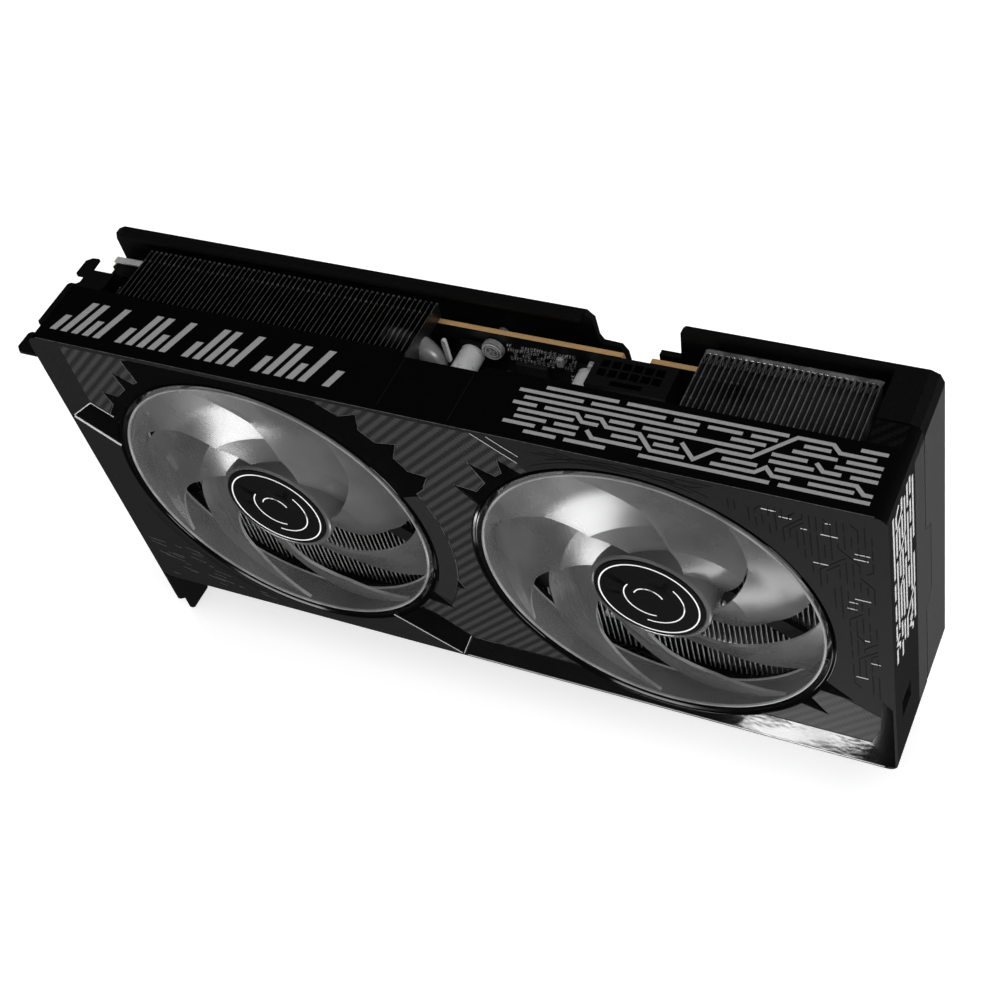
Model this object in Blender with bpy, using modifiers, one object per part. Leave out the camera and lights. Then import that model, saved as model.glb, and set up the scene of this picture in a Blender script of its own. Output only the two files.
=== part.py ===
"""Two-slot graphics card with two open-blade fans.

Upright frame: +X runs from the slot bracket to the far end, the fans face -Y,
+Z is up, and the origin is the centre of the bounding box on the floor.
Every length below is in millimetres on the card's own axes: x from the bracket
plane, y from the fan face, z from the lower edge of the shroud.
"""
import bpy
import bmesh
import math
from mathutils import Matrix, Vector

MM = 0.001

# ---- overall body
BODY_L = 239.7            # far end of shroud and backplate
BODY_H = 108.0            # shroud height
BODY_T = 46.0             # fan face to back face
CORNER_R = 3.2            # rounded ends of the shroud
GAP = 0.3                 # air between neighbouring pieces

# ---- slot bracket
PLATE_X0, PLATE_X1 = -1.2, -0.2
FLANGE_TIP_X = -12.3
FLANGE_Z = 96.0
BRACKET_FOOT_Z = -24.1
BRACKET_Y0, BRACKET_Y1 = 1.0, 39.7
SLOT_PITCH = 20.32

# ---- fans
FAN_X = (61.6, 175.2)
FAN_Z = 53.8
WELL_R = 49.0
RING_R = 47.5
RING_WALL = 1.3
RING_Y0, RING_Y1 = 0.3, 9.6
HUB_R = 17.0
BLADES = 7
BLADE_START = (48.0, 49.5)
BLADE_T = 1.1
# each blade folds at two radii; (share of the way from hub to ring, lead angle, chord angle, rise)
BLADE_FOLDS = ((0.0, 0.0, 50.0, 0.3), (0.28, 21.0, 46.0, -0.5), (0.61, 38.0, 42.5, 1.0),
               (1.0, 62.0, 38.0, 0.2))

# ---- heat sink
FIN_TOP_Z = 106.5
FIN_FOOT_Z = 3.2
FIN_T = 0.4
LEFT_FINS = 57
LEFT_X0, LEFT_X1 = 16.3, 107.7
RIGHT_FINS = 29
RIGHT_X0, RIGHT_X1 = 182.0, 226.6
MIDDLE_FINS = 45
MIDDLE_X0, MIDDLE_X1 = 108.4, 181.3
MIDDLE_TOP_Z = 80.0
FIN_Y0 = 15.6
PIPE_R = 2.9
PIPE_Y = 31.3
PIPE_Z = (36.0, 45.5, 62.5, 72.0)

# ---- circuit board
PCB_Y0, PCB_Y1 = 38.0, 39.6
PCB_END_X = 181.2
PCB_TOP_Z = 101.0
PCB_FOOT_Z = -1.9
FINGER_Z = -10.15
PART_Y1 = PCB_Y0 - GAP
GPU_X, GPU_Z = 98.0, 54.0
SPRING_SPOTS = [(GPU_X + a, GPU_Z + b) for a in (-27.0, 27.0) for b in (-31.5, 31.5)]
SCREW_SPOTS = ((122.8, 96.0), (9.0, 6.0), (172.0, 8.0))
PORT_Z = (82.0, 61.0, 40.0, 19.0)

# ---- power socket, two rows of cells with a slot beside them
SOCKET = (153.6, 175.6, 27.2, 88.0, 101.2)
CELL_X, CELL_Y = 156.5, 32.0
CELL_PITCH = 3.0
CELL_HALF = 1.2

ORIGIN = Vector(((FLANGE_TIP_X + BODY_L) / 2, BODY_T / 2, BRACKET_FOOT_Z))
SCALE = Matrix.Scale(MM, 4)
ALONG_Y = Matrix.Rotation(math.pi / 2, 4, "X")
SEAM = 0.001              # turned points nearer than this, in millimetres, become one

for old in list(bpy.data.objects):
    bpy.data.objects.remove(old, do_unlink=True)

parts = bpy.data.collections.new("graphics_card")
tools = bpy.data.collections.new("cutters")
bpy.context.scene.collection.children.link(parts)
bpy.context.scene.collection.children.link(tools)

FINISHES = {
    "satin_shell": ((0.045, 0.045, 0.047), 0.0, 0.45),
    "gloss_trim": ((0.010, 0.010, 0.011), 0.0, 0.08),
    "coated_sheet": ((0.020, 0.020, 0.021), 0.3, 0.40),
    "fan_resin": ((0.36, 0.37, 0.38), 0.0, 0.22),
    "label_film": ((0.050, 0.050, 0.052), 0.0, 0.35),
    "fin_sheet": ((0.72, 0.73, 0.74), 1.0, 0.30),
    "nickel_pipe": ((0.66, 0.66, 0.65), 1.0, 0.22),
    "copper_base": ((0.72, 0.70, 0.67), 1.0, 0.25),
    "board": ((0.012, 0.013, 0.012), 0.0, 0.40),
    "chip_resin": ((0.018, 0.018, 0.018), 0.0, 0.50),
    "ferrite": ((0.09, 0.09, 0.09), 0.2, 0.55),
    "can_metal": ((0.75, 0.75, 0.76), 1.0, 0.25),
    "plug_resin": ((0.012, 0.012, 0.013), 0.0, 0.55),
    "shell_metal": ((0.62, 0.62, 0.63), 1.0, 0.28),
    "screw_steel": ((0.30, 0.30, 0.31), 1.0, 0.30),
    "coil": ((0.45, 0.22, 0.09), 0.8, 0.40),
    "magnet": ((0.07, 0.07, 0.075), 0.5, 0.50),
    "silicon": ((0.25, 0.26, 0.28), 0.6, 0.15),
}
materials = {}


def finish(obj, slot):
    if slot not in materials:
        colour, metal, rough = FINISHES[slot]
        mat = bpy.data.materials.new(slot)
        mat.use_nodes = True
        shader = mat.node_tree.nodes["Principled BSDF"]
        shader.inputs["Base Color"].default_value = (*colour, 1.0)
        shader.inputs["Metallic"].default_value = metal
        shader.inputs["Roughness"].default_value = rough
        mat.diffuse_color = (*colour, 1.0)
        materials[slot] = mat
    obj.data.materials.clear()
    obj.data.materials.append(materials[slot])
    return obj


def place(x, y, z):
    """A point on the card's own axes as a place in the row frame, in metres."""
    return (Vector((x, y, z)) - ORIGIN) * MM


def add_object(name, data, cutter=False):
    obj = bpy.data.objects.new(name, data)
    (tools if cutter else parts).objects.link(obj)
    if cutter:
        obj.hide_render = True
        obj.display_type = "WIRE"
    return obj


def from_bmesh(name, bm, cutter=False):
    bmesh.ops.recalc_face_normals(bm, faces=bm.faces)
    mesh = bpy.data.meshes.new(name)
    bm.to_mesh(mesh)
    bm.free()
    return add_object(name, mesh, cutter)


def poly_curve(name, points, closed):
    """A curve object's data with one straight-sided spline."""
    curve = bpy.data.curves.new(name, "CURVE")
    spline = curve.splines.new("POLY")
    spline.points.add(len(points) - 1)
    for target, point in zip(spline.points, points):
        target.co = (*point, 1.0)
    spline.use_cyclic_u = closed
    return curve


def add_prism(bm, outline, axis, low, high):
    """A 2D curve extruded both ways, its two open ends filled, and set across one axis."""
    curve = poly_curve("outline", [(a, b, 0.0) for a, b in outline], closed=True)
    curve.dimensions = "2D"
    curve.fill_mode = "NONE"
    curve.extrude = (high - low) / 2
    band = bpy.data.objects.new("outline", curve)
    mesh = bpy.data.meshes.new_from_object(band)
    bpy.data.objects.remove(band)
    bpy.data.curves.remove(curve)
    solid = bmesh.new()
    solid.from_mesh(mesh)
    bmesh.ops.holes_fill(solid, edges=solid.edges)
    for vert in solid.verts:
        a, b, side = vert.co
        depth = high if side > 0.0 else low
        vert.co = place(*{0: (depth, a, b), 1: (a, depth, b), 2: (a, b, depth)}[axis])
    solid.to_mesh(mesh)
    solid.free()
    bm.from_mesh(mesh)
    bpy.data.meshes.remove(mesh)


def many(name, pieces, cutter=True):
    """Several separate prisms in one object: (outline, axis, low, high)."""
    bm = bmesh.new()
    for outline, axis, low, high in pieces:
        add_prism(bm, outline, axis, low, high)
    return from_bmesh(name, bm, cutter)


def extrude(name, outline, axis, low, high, cutter=False):
    """Push a flat outline along one axis; the outline holds the other two axes in order."""
    return many(name, [(outline, axis, low, high)], cutter)


def rect(a0, a1, b0, b1):
    return [(a0, b0), (a1, b0), (a1, b1), (a0, b1)]


def round_rect(a0, a1, b0, b1, radius, steps=4):
    points = []
    corners = ((a1 - radius, b1 - radius, 0), (a0 + radius, b1 - radius, 90),
               (a0 + radius, b0 + radius, 180), (a1 - radius, b0 + radius, 270))
    for ca, cb, start in corners:
        for k in range(steps + 1):
            t = math.radians(start + 90.0 * k / steps)
            points.append((ca + radius * math.cos(t), cb + radius * math.sin(t)))
    return points


def circle(ca, cb, radius, count):
    return [(ca + radius * math.cos(2 * math.pi * k / count),
             cb + radius * math.sin(2 * math.pi * k / count)) for k in range(count)]


def box(name, x0, x1, y0, y1, z0, z1, cutter=False):
    bm = bmesh.new()
    size = Matrix.Diagonal((x1 - x0, y1 - y0, z1 - z0, 1.0))
    bmesh.ops.create_cube(bm, size=1.0, matrix=SCALE @ size)
    obj = from_bmesh(name, bm, cutter)
    obj.location = place((x0 + x1) / 2, (y0 + y1) / 2, (z0 + z1) / 2)
    return obj


def drum(name, x, z, radius, y0, y1, count=24, cutter=False):
    """A cylinder along y, with the object's origin on its axis."""
    bm = bmesh.new()
    middle = Matrix.Translation((0.0, (y0 + y1) / 2, 0.0))
    bmesh.ops.create_cone(bm, cap_ends=True, segments=count, radius1=radius, radius2=radius,
                          depth=y1 - y0, matrix=SCALE @ middle @ ALONG_Y)
    obj = from_bmesh(name, bm, cutter)
    obj.location = place(x, 0.0, z)
    return obj


def lathe(name, x, z, profile, segments=32, cutter=False):
    """Turn a (radius, y) profile about an axis along y; one that leaves the axis free is closed."""
    bm = bmesh.new()
    verts = [bm.verts.new((radius * MM, y * MM, 0.0)) for radius, y in profile]
    for first, second in zip(verts, verts[1:]):
        bm.edges.new((first, second))
    if profile[0][0] > 0.0:
        bm.edges.new((verts[-1], verts[0]))
    obj = from_bmesh(name, bm, cutter)
    obj.location = place(x, 0.0, z)
    turn = obj.modifiers.new("turn", "SCREW")
    turn.axis = "Y"
    turn.steps = segments
    turn.render_steps = segments
    turn.use_merge_vertices = True
    turn.merge_threshold = SEAM * MM
    turn.use_normal_flip = True
    return obj


def combine(obj, other, operation):
    mod = obj.modifiers.new(operation.lower() + "_" + other.name, "BOOLEAN")
    mod.operation = operation
    mod.object = other
    mod.solver = "EXACT"
    return obj


def cut(obj, other):
    return combine(obj, other, "DIFFERENCE")


def fuse(obj, other):
    return combine(obj, other, "UNION")


def polar(cx, cz, angle, radius):
    t = math.radians(angle)
    return (cx + radius * math.cos(t), cz + radius * math.sin(t))


# ---------------------------------------------------------------- slot bracket
def io_bracket():
    first = BRACKET_Y0 + 2.4
    second = first + SLOT_PITCH
    foot = BRACKET_FOOT_Z
    plate = [(BRACKET_Y0, FLANGE_Z), (BRACKET_Y0, -15.0)]
    for start in (first, second):
        plate += [(start, -17.6), (start, foot + 1.0), (start + 1.0, foot),
                  (start + 9.2, foot), (start + 10.2, foot + 1.0), (start + 10.2, -17.6),
                  (start + 12.2, -15.0)]
        if start == first:
            plate += [(second - 2.2, -15.0)]
    plate += [(BRACKET_Y1, -15.0), (BRACKET_Y1, FLANGE_Z)]
    bracket = extrude("io_bracket", plate, 0, PLATE_X0, PLATE_X1)

    notch_floor = FLANGE_TIP_X + 3.3
    n1, n2 = 11.1, 11.1 + SLOT_PITCH
    flange = [(PLATE_X1, 3.6), (FLANGE_TIP_X + 1.5, 3.6), (FLANGE_TIP_X, 5.1),
              (FLANGE_TIP_X, n1 - 0.8), (FLANGE_TIP_X + 0.8, n1), (notch_floor - 0.8, n1),
              (notch_floor, n1 + 0.9), (notch_floor, n1 + 2.6), (notch_floor - 0.8, n1 + 3.5),
              (FLANGE_TIP_X + 0.8, n1 + 3.5), (FLANGE_TIP_X, n1 + 4.3),
              (FLANGE_TIP_X, n2 - 0.8), (FLANGE_TIP_X + 0.8, n2), (notch_floor - 0.8, n2),
              (notch_floor, n2 + 0.9), (notch_floor, n2 + 2.6), (notch_floor - 0.8, n2 + 3.5),
              (FLANGE_TIP_X + 0.4, n2 + 3.5), (FLANGE_TIP_X, n2 + 4.0),
              (FLANGE_TIP_X, 40.6), (FLANGE_TIP_X + 1.6, 42.0), (FLANGE_TIP_X + 3.8, 42.2),
              (FLANGE_TIP_X + 4.0, 38.6), (FLANGE_TIP_X + 5.2, 37.6), (PLATE_X1, 37.6)]
    rim = extrude("bracket_flange", flange, 2, FLANGE_Z - 1.0, FLANGE_Z, cutter=True)
    fuse(bracket, rim)

    ports = [(rect(31.0, 38.1, z - 9.0, z + 9.0), 0, -3.0, 2.0) for z in PORT_Z]
    vents = []
    for row in range(9):
        z = 6.0 + 9.6 * row
        vents.append(([(5.0, z), (17.5, z + 3.4), (17.5, z + 7.0), (5.0, z + 3.6)], 0, -3.0, 2.0))
    for row in range(3):
        z = 84.0 - 26.0 * row
        vents.append((rect(22.6, 26.2, z - 10.0, z - 1.0), 0, -3.0, 2.0))
    cut(bracket, many("bracket_openings", ports + vents))
    return finish(bracket, "coated_sheet")


def video_connectors():
    """Three tall sockets and one wider one, each a hollow metal shell open at the bracket."""
    for index, z in enumerate(PORT_Z):
        half = 8.3 if index < 3 else 7.6
        shell = box("display_socket_%d" % (index + 1) if index < 3 else "hdmi_style_socket",
                    -0.9, 15.6, 31.6, PART_Y1, z - half, z + half)
        mouth = many("socket_mouth_%d" % (index + 1),
                     [(rect(32.2, 37.1, z - half + 0.6, z + half - 0.6), 0, -3.0, 13.6)])
        tongue = extrude("socket_tongue_%d" % (index + 1), rect(34.2, 35.2, z - 5.5, z + 5.5),
                         0, 0.5, 14.6, cutter=True)
        cut(shell, mouth)
        fuse(shell, tongue)
        finish(shell, "shell_metal")


# ---------------------------------------------------------------- shroud
def fan_shroud():
    x0, x1 = 0.1, BODY_L
    shell = extrude("fan_shroud", round_rect(x0, x1, 0.0, BODY_H, CORNER_R), 1, 0.0, 28.2)
    cavity = extrude("shroud_cavity",
                     round_rect(x0 + 1.6, x1 - 1.6, 1.2, BODY_H - 1.2, CORNER_R - 1.2),
                     1, 2.0, 40.0, cutter=True)
    cut(shell, cavity)
    cut(shell, box("shroud_open_back", -5.0, 228.2, 20.8, 40.0, -5.0, BODY_H + 5.0, True))
    dip = [(105.6, 21.5), (108.6, 18.8), (129.4, 18.8), (132.4, 21.5)]
    cut(shell, extrude("shroud_top_dip", dip, 2, BODY_H - 4.0, BODY_H + 4.0, True))
    wells = many("fan_well_walls", [(circle(x, FAN_Z, WELL_R + 1.2, 48), 1, 1.0, 12.3)
                                    for x in FAN_X])
    fuse(shell, wells)
    holes = many("fan_well_bores", [(circle(x, FAN_Z, WELL_R, 48), 1, -3.0, 30.0) for x in FAN_X])
    cut(shell, holes)
    recess = many("inlay_recesses", [
        (bezel_outline(0, GAP), 1, -1.0, 1.0), (bezel_outline(1, GAP), 1, -1.0, 1.0)])
    cut(shell, recess)
    recess = many("trim_recesses", [
        (LEFT_TRIM_SEAT, 1, -1.0, 1.0), (CORNER_TRIM_SEAT, 1, -1.0, 1.0),
        (LOWER_TRIM_SEAT, 1, -1.0, 1.0)])
    cut(shell, recess)
    cut(shell, box("end_cable_hole", 236.0, 242.0, 5.6, 13.4, 18.7, 26.0, cutter=True))
    return finish(shell, "satin_shell")


# glossy inlays on the fan face: each fan's ring is a plain lip, with wide bands as
# (from angle, to angle, radius) and pointed teeth as (angle, tip radius) standing out of it
LIP_R = 50.0
BEZEL_BANDS = (((-14, 24, 56.5), (24, 122, 60.5), (122, 150, 53.0)), ((126, 150, 52.5),))
BEZEL_TEETH = (((-30, 57.5), (-17, 59), (29, 65), (40, 66), (51, 66), (128, 59.5), (140, 57.5)),
               ((-36, 57), (-24, 58.5), (127, 56.5), (136, 60), (148, 58.5)))
TOOTH_HALF = 3.0
BEZEL_STEP = 6.0


def bezel_radius(fan, angle):
    """Outer radius of the glossy ring at an angle, between its teeth."""
    for low, high, radius in BEZEL_BANDS[fan]:
        if low <= angle <= high:
            return radius
    return LIP_R


def bezel_outline(fan, grow=0.0):
    """Outer edge of the glossy ring: arcs of the lip and bands, broken by pointed teeth."""
    teeth = BEZEL_TEETH[fan]
    marks = []
    for low, high, radius in BEZEL_BANDS[fan]:
        marks += [(low - 1.5, bezel_radius(fan, low - 1.5)), (low + 1.5, radius),
                  (high - 1.5, radius), (high + 1.5, bezel_radius(fan, high + 1.5))]
    marks += [(-60 + BEZEL_STEP * k, bezel_radius(fan, -60 + BEZEL_STEP * k))
              for k in range(int(360 / BEZEL_STEP))]
    marks = [mark for mark in marks if all(abs(mark[0] - tip) > TOOTH_HALF for tip, _ in teeth)]
    for tip, reach in teeth:
        foot = (tip - TOOTH_HALF, tip + TOOTH_HALF)
        marks += [(foot[0], bezel_radius(fan, foot[0])), (tip, reach),
                  (foot[1], bezel_radius(fan, foot[1]))]
    edge = {round(angle, 3): reach for angle, reach in sorted(marks)}
    points = []
    for angle in sorted(edge):
        margin = grow * (2.0 if angle in dict(teeth) else 1.0)
        x, z = polar(FAN_X[fan], FAN_Z, angle, edge[angle] + margin)
        points.append((x, min(max(z, 1.9 - grow), BODY_H - 1.3 + grow)))
    return points


def fan_bezels():
    for fan, side in enumerate(("left", "right")):
        ring = extrude("fan_bezel_" + side, bezel_outline(fan), 1, 0.0, 0.7)
        cut(ring, drum("bezel_bore_" + side, FAN_X[fan], FAN_Z, WELL_R + 0.2, -2.0, 3.0, 64, True))
        finish(ring, "gloss_trim")


LEFT_TRIM = ((1.2, 75.9), (10.7, 83.8), (16.9, 79.3), (17.6, 66.0), (13.6, 66.9))
LEFT_TRIM_SEAT = ((0.6, 76.0), (10.7, 84.3), (17.4, 79.6), (18.6, 65.0), (13.4, 66.3))
CORNER_TRIM = ((88.0, 13.0), (100.4, 20.6), (104.4, 18.6), (113.5, 11.8), (108.5, 0.9))
CORNER_TRIM_SEAT = ((87.0, 12.9), (100.4, 21.2), (104.6, 19.1), (114.0, 12.0), (108.5, 0.4))
LOWER_TRIM = ((109.7, 0.9), (236.2, 0.9), (233.2, 11.3), (114.6, 11.3))
LOWER_TRIM_SEAT = ((109.2, 0.5), (236.8, 0.5), (233.5, 11.7), (114.4, 11.7))


def face_trims():
    for name, outline in (("left_edge_trim", LEFT_TRIM), ("corner_trim", CORNER_TRIM)):
        trim = extrude(name, outline, 1, 0.0, 0.7)
        cut(trim, extrude(name + "_bite", bezel_outline(0, 0.35), 1, -2.0, 3.0, True))
        finish(trim, "gloss_trim")
    lower = extrude("lower_edge_trim", LOWER_TRIM, 1, 0.0, 0.7)
    cut(lower, drum("trim_round", FAN_X[1], FAN_Z, LIP_R + 0.5, -2.0, 3.0, 48, True))
    finish(lower, "gloss_trim")


# ---------------------------------------------------------------- fans
def blade(name, cx, start):
    """One folded blade between hub and ring, a thin sheet that slopes from front to back."""
    rows = len(BLADE_FOLDS) - 1
    inner, outer = HUB_R - 0.6, RING_R - RING_WALL / 2
    bm = bmesh.new()
    bmesh.ops.create_grid(bm, x_segments=rows, y_segments=2, size=0.5)
    for vert in bm.verts:
        share, lead, width, rise = BLADE_FOLDS[round((vert.co.x + 0.5) * rows)]
        along = vert.co.y + 0.5
        x, z = polar(cx, FAN_Z, start + lead - width * along, inner + share * (outer - inner))
        vert.co = place(x, 1.0 + BLADE_T / 2 + (7.2 - 1.4 * share) * along + rise, z)
    sheet = from_bmesh(name, bm, cutter=True)
    wall = sheet.modifiers.new("wall", "SOLIDIFY")
    wall.thickness = BLADE_T * MM
    wall.offset = 0.0
    return sheet


def fan(side, cx, start):
    impeller = drum("impeller_" + side, cx, FAN_Z, HUB_R, 0.8, 11.2, 30)
    cut(impeller, drum("rotor_cup_" + side, cx, FAN_Z, HUB_R - 1.4, 2.4, 14.0, 30, True))
    outer = lathe("impeller_ring_" + side, cx, FAN_Z,
                  ((RING_R, RING_Y0), (RING_R, RING_Y1), (RING_R - RING_WALL, RING_Y1),
                   (RING_R - RING_WALL, RING_Y0)), 42, True)
    for k in range(BLADES):
        fuse(impeller, blade("blade_%s_%d" % (side, k + 1), cx, start + 360.0 * k / BLADES))
    fuse(impeller, outer)
    finish(impeller, "fan_resin")
    cap = drum("hub_cap_" + side, cx, FAN_Z, 15.4, 0.0, 0.5, 36)
    finish(cap, "label_film")
    magnet = lathe("rotor_magnet_" + side, cx, FAN_Z,
                   ((15.2, 3.0), (15.2, 10.4), (13.2, 10.4), (13.2, 3.0)), 24)
    finish(magnet, "magnet")
    shaft = drum("fan_shaft_" + side, cx, FAN_Z, 1.1, 2.7, 11.8, 12)
    finish(shaft, "screw_steel")

    stator = lathe("stator_coil_" + side, cx, FAN_Z,
                   ((12.7, 3.6), (12.7, 10.2), (5.2, 10.2), (5.2, 3.6)), 18)
    poles = many("stator_slots_" + side, [
        ([polar(cx, FAN_Z, a - 7, 14.0), polar(cx, FAN_Z, a + 7, 14.0),
          polar(cx, FAN_Z, a + 9, 7.0), polar(cx, FAN_Z, a - 9, 7.0)], 1, 2.0, 8.6)
        for a in range(10, 370, 60)])
    cut(stator, poles)
    finish(stator, "coil")
    sleeve = lathe("bearing_sleeve_" + side, cx, FAN_Z,
                   ((4.8, 3.2), (4.8, 12.2), (1.5, 12.2), (1.5, 3.2)), 18)
    finish(sleeve, "can_metal")
    arms = []
    for k in range(3):
        a = 90.0 + 120.0 * k
        inner1, inner2 = polar(cx, FAN_Z, a - 11, 14.0), polar(cx, FAN_Z, a + 11, 14.0)
        outer1, outer2 = polar(cx, FAN_Z, a + 3.4, 50.6), polar(cx, FAN_Z, a - 3.4, 50.6)
        arms.append(([inner1, outer2, outer1, inner2], 1, 12.7, 14.3))
    frame = drum("fan_frame_" + side, cx, FAN_Z, 16.4, 12.7, 14.3, 30)
    for k, arm in enumerate(arms):
        fuse(frame, many("frame_arm_%s_%d" % (side, k + 1), [arm]))
    finish(frame, "plug_resin")


# ---------------------------------------------------------------- heat sink
def comb(name, x0, x1, count, y0, y1, z0, top):
    """Upright fins rising from one foot strip."""
    pitch = (x1 - x0 - FIN_T) / (count - 1)
    outline = [(x0, z0), (x1, z0)]
    for k in range(count - 1, -1, -1):
        left = x0 + pitch * k
        if k < count - 1:
            outline.append((left + FIN_T, z0 + 1.2))
        outline += [(left + FIN_T, top), (left, top)]
        if k > 0:
            outline.append((left, z0 + 1.2))
    return extrude(name, outline, 1, y0, y1)


def fin_stacks():
    left = comb("fin_stack_left", LEFT_X0, LEFT_X1, LEFT_FINS, FIN_Y0, 39.9, FIN_FOOT_Z,
                FIN_TOP_Z)
    cut(left, many("left_fin_relief", [
        ([(33.0, -2.0), (45.0, -2.0), (45.0, 101.7), (33.0, 101.7), (33.0, 82.0), (28.0, 82.0),
          (28.0, 26.0), (33.0, 26.0)], 0, 5.0, 120.0)]))
    finish(left, "fin_sheet")
    right = comb("fin_stack_right", RIGHT_X0, RIGHT_X1, RIGHT_FINS, FIN_Y0, 41.6, FIN_FOOT_Z,
                 FIN_TOP_Z)
    reach = PIPE_R + GAP
    cut(right, many("right_fin_slots", [
        (rect(PIPE_Y - reach, PIPE_Y + reach, low - reach, high + reach), 0, 176.0, 225.2)
        for low, high in (PIPE_Z[:2], PIPE_Z[2:])]))
    finish(right, "fin_sheet")
    middle = comb("fin_stack_middle", MIDDLE_X0, MIDDLE_X1, MIDDLE_FINS, FIN_Y0,
                  PIPE_Y - PIPE_R - GAP, FIN_FOOT_Z, MIDDLE_TOP_Z)
    finish(middle, "fin_sheet")


def heat_pipes():
    """Four straight pipes in the base grooves, drawn in at both ends."""
    stations = ((22.0, 0.55), (23.2, 1.0), (98.0, 1.0), (223.6, 1.0), (224.8, 0.55))
    for index, z in enumerate(PIPE_Z):
        name = "heat_pipe_%d" % (index + 1)
        curve = poly_curve(name, [place(x, PIPE_Y, z) for x, _ in stations], closed=False)
        curve.dimensions = "3D"
        curve.bevel_depth = PIPE_R * MM
        curve.bevel_resolution = 5
        curve.use_fill_caps = True
        for point, (_, share) in zip(curve.splines[0].points, stations):
            point.radius = share
        finish(add_object(name, curve), "nickel_pipe")


def base_block():
    base = box("cold_plate", GPU_X - 23.0, GPU_X + 23.0, 30.0, 35.1, GPU_Z - 27.0, GPU_Z + 27.0)
    grooves = [(circle(PIPE_Y, z, PIPE_R + GAP, 14), 0, 60.0, 140.0) for z in PIPE_Z]
    mouths = [(rect(24.0, PIPE_Y, z - PIPE_R - GAP + 0.05, z + PIPE_R + GAP - 0.05), 0, 61.0, 139.0)
              for z in PIPE_Z]
    cut(base, many("pipe_grooves", grooves))
    cut(base, many("groove_mouths", mouths))
    finish(base, "copper_base")


# ---------------------------------------------------------------- circuit board
def circuit_board():
    outline = [(0.3, PCB_FOOT_Z), (44.9, PCB_FOOT_Z), (44.9, FINGER_Z + 0.8), (45.7, FINGER_Z),
               (55.8, FINGER_Z), (56.6, FINGER_Z + 0.8), (56.6, PCB_FOOT_Z),
               (58.5, PCB_FOOT_Z), (58.5, FINGER_Z + 0.8), (59.3, FINGER_Z), (129.1, FINGER_Z),
               (129.9, FINGER_Z + 0.8), (129.9, -5.2), (131.6, -5.2), (131.6, FINGER_Z + 0.8),
               (132.4, FINGER_Z), (135.6, FINGER_Z), (136.4, FINGER_Z + 0.8), (136.4, PCB_FOOT_Z),
               (PCB_END_X, PCB_FOOT_Z), (PCB_END_X, PCB_TOP_Z), (167.4, PCB_TOP_Z),
               (166.8, 97.3), (160.4, 97.3), (159.6, PCB_TOP_Z), (3.6, PCB_TOP_Z), (0.3, 98.6)]
    board = extrude("circuit_board", outline, 1, PCB_Y0, PCB_Y1)
    holes = [(circle(x, z, 1.8, 12), 1, 30.0, 45.0) for x, z in SCREW_SPOTS]
    holes.append((circle(3.6, 94.6, 1.5, 12), 1, 30.0, 45.0))
    holes += [(circle(x, z, 1.8, 12), 1, 30.0, 45.0) for x, z in SPRING_SPOTS]
    cut(board, many("board_holes", holes))
    finish(board, "board")


def board_parts():
    finish(box("gpu_package", GPU_X - 18.5, GPU_X + 18.5, 36.3, PART_Y1, GPU_Z - 18.5, GPU_Z + 18.5),
           "chip_resin")
    finish(box("gpu_die", GPU_X - 8.2, GPU_X + 8.2, 35.4, 36.0, GPU_Z - 11.0, GPU_Z + 11.0), "silicon")
    spots = ((68.0, 38.0), (68.0, 56.0), (68.0, 74.0), (128.0, 38.0), (128.0, 56.0), (128.0, 74.0))
    for k, (x, z) in enumerate(spots):
        finish(box("memory_chip_%d" % (k + 1), x - 6.0, x + 6.0, 36.5, PART_Y1, z - 7.0, z + 7.0),
               "chip_resin")
    for k in range(5):
        z = 16.0 + 14.5 * k
        coil = extrude("power_inductor_%d" % (k + 1), round_rect(143.0, 153.0, z - 5.0, z + 5.0, 1.6, 2),
                       1, 34.6, PART_Y1)
        finish(coil, "ferrite")
    for k, (x, z, radius) in enumerate(((116.4, 93.2, 3.4), (149.9, 93.0, 3.1))):
        can = lathe("can_capacitor_%d" % (k + 1), x, z,
                    ((0.0, 27.0), (radius - 0.5, 27.0), (radius, 27.5), (radius, 35.6),
                     (radius - 0.5, 36.0), (radius, 36.4), (radius, PART_Y1), (0.0, PART_Y1)), 20)
        finish(can, "can_metal")
    finish(box("driver_chip", 128.8, 137.6, 36.3, PART_Y1, 86.0, 92.4), "chip_resin")


def power_socket():
    x0, x1, y0, z0, z1 = SOCKET
    body = box("power_socket", x0, x1, y0, PART_Y1, z0, z1)
    cells = []
    for col in range(6):
        for row in range(2):
            cx, cy = CELL_X + CELL_PITCH * col, CELL_Y + CELL_PITCH * row
            cells.append((rect(cx - CELL_HALF, cx + CELL_HALF, cy - CELL_HALF, cy + CELL_HALF),
                          2, z1 - 6.5, z1 + 3.0))
    cells.append((rect(160.0, 168.6, 28.2, 29.7), 2, z1 - 5.0, z1 + 3.0))
    cut(body, many("socket_cells", cells))
    finish(body, "plug_resin")


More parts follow.
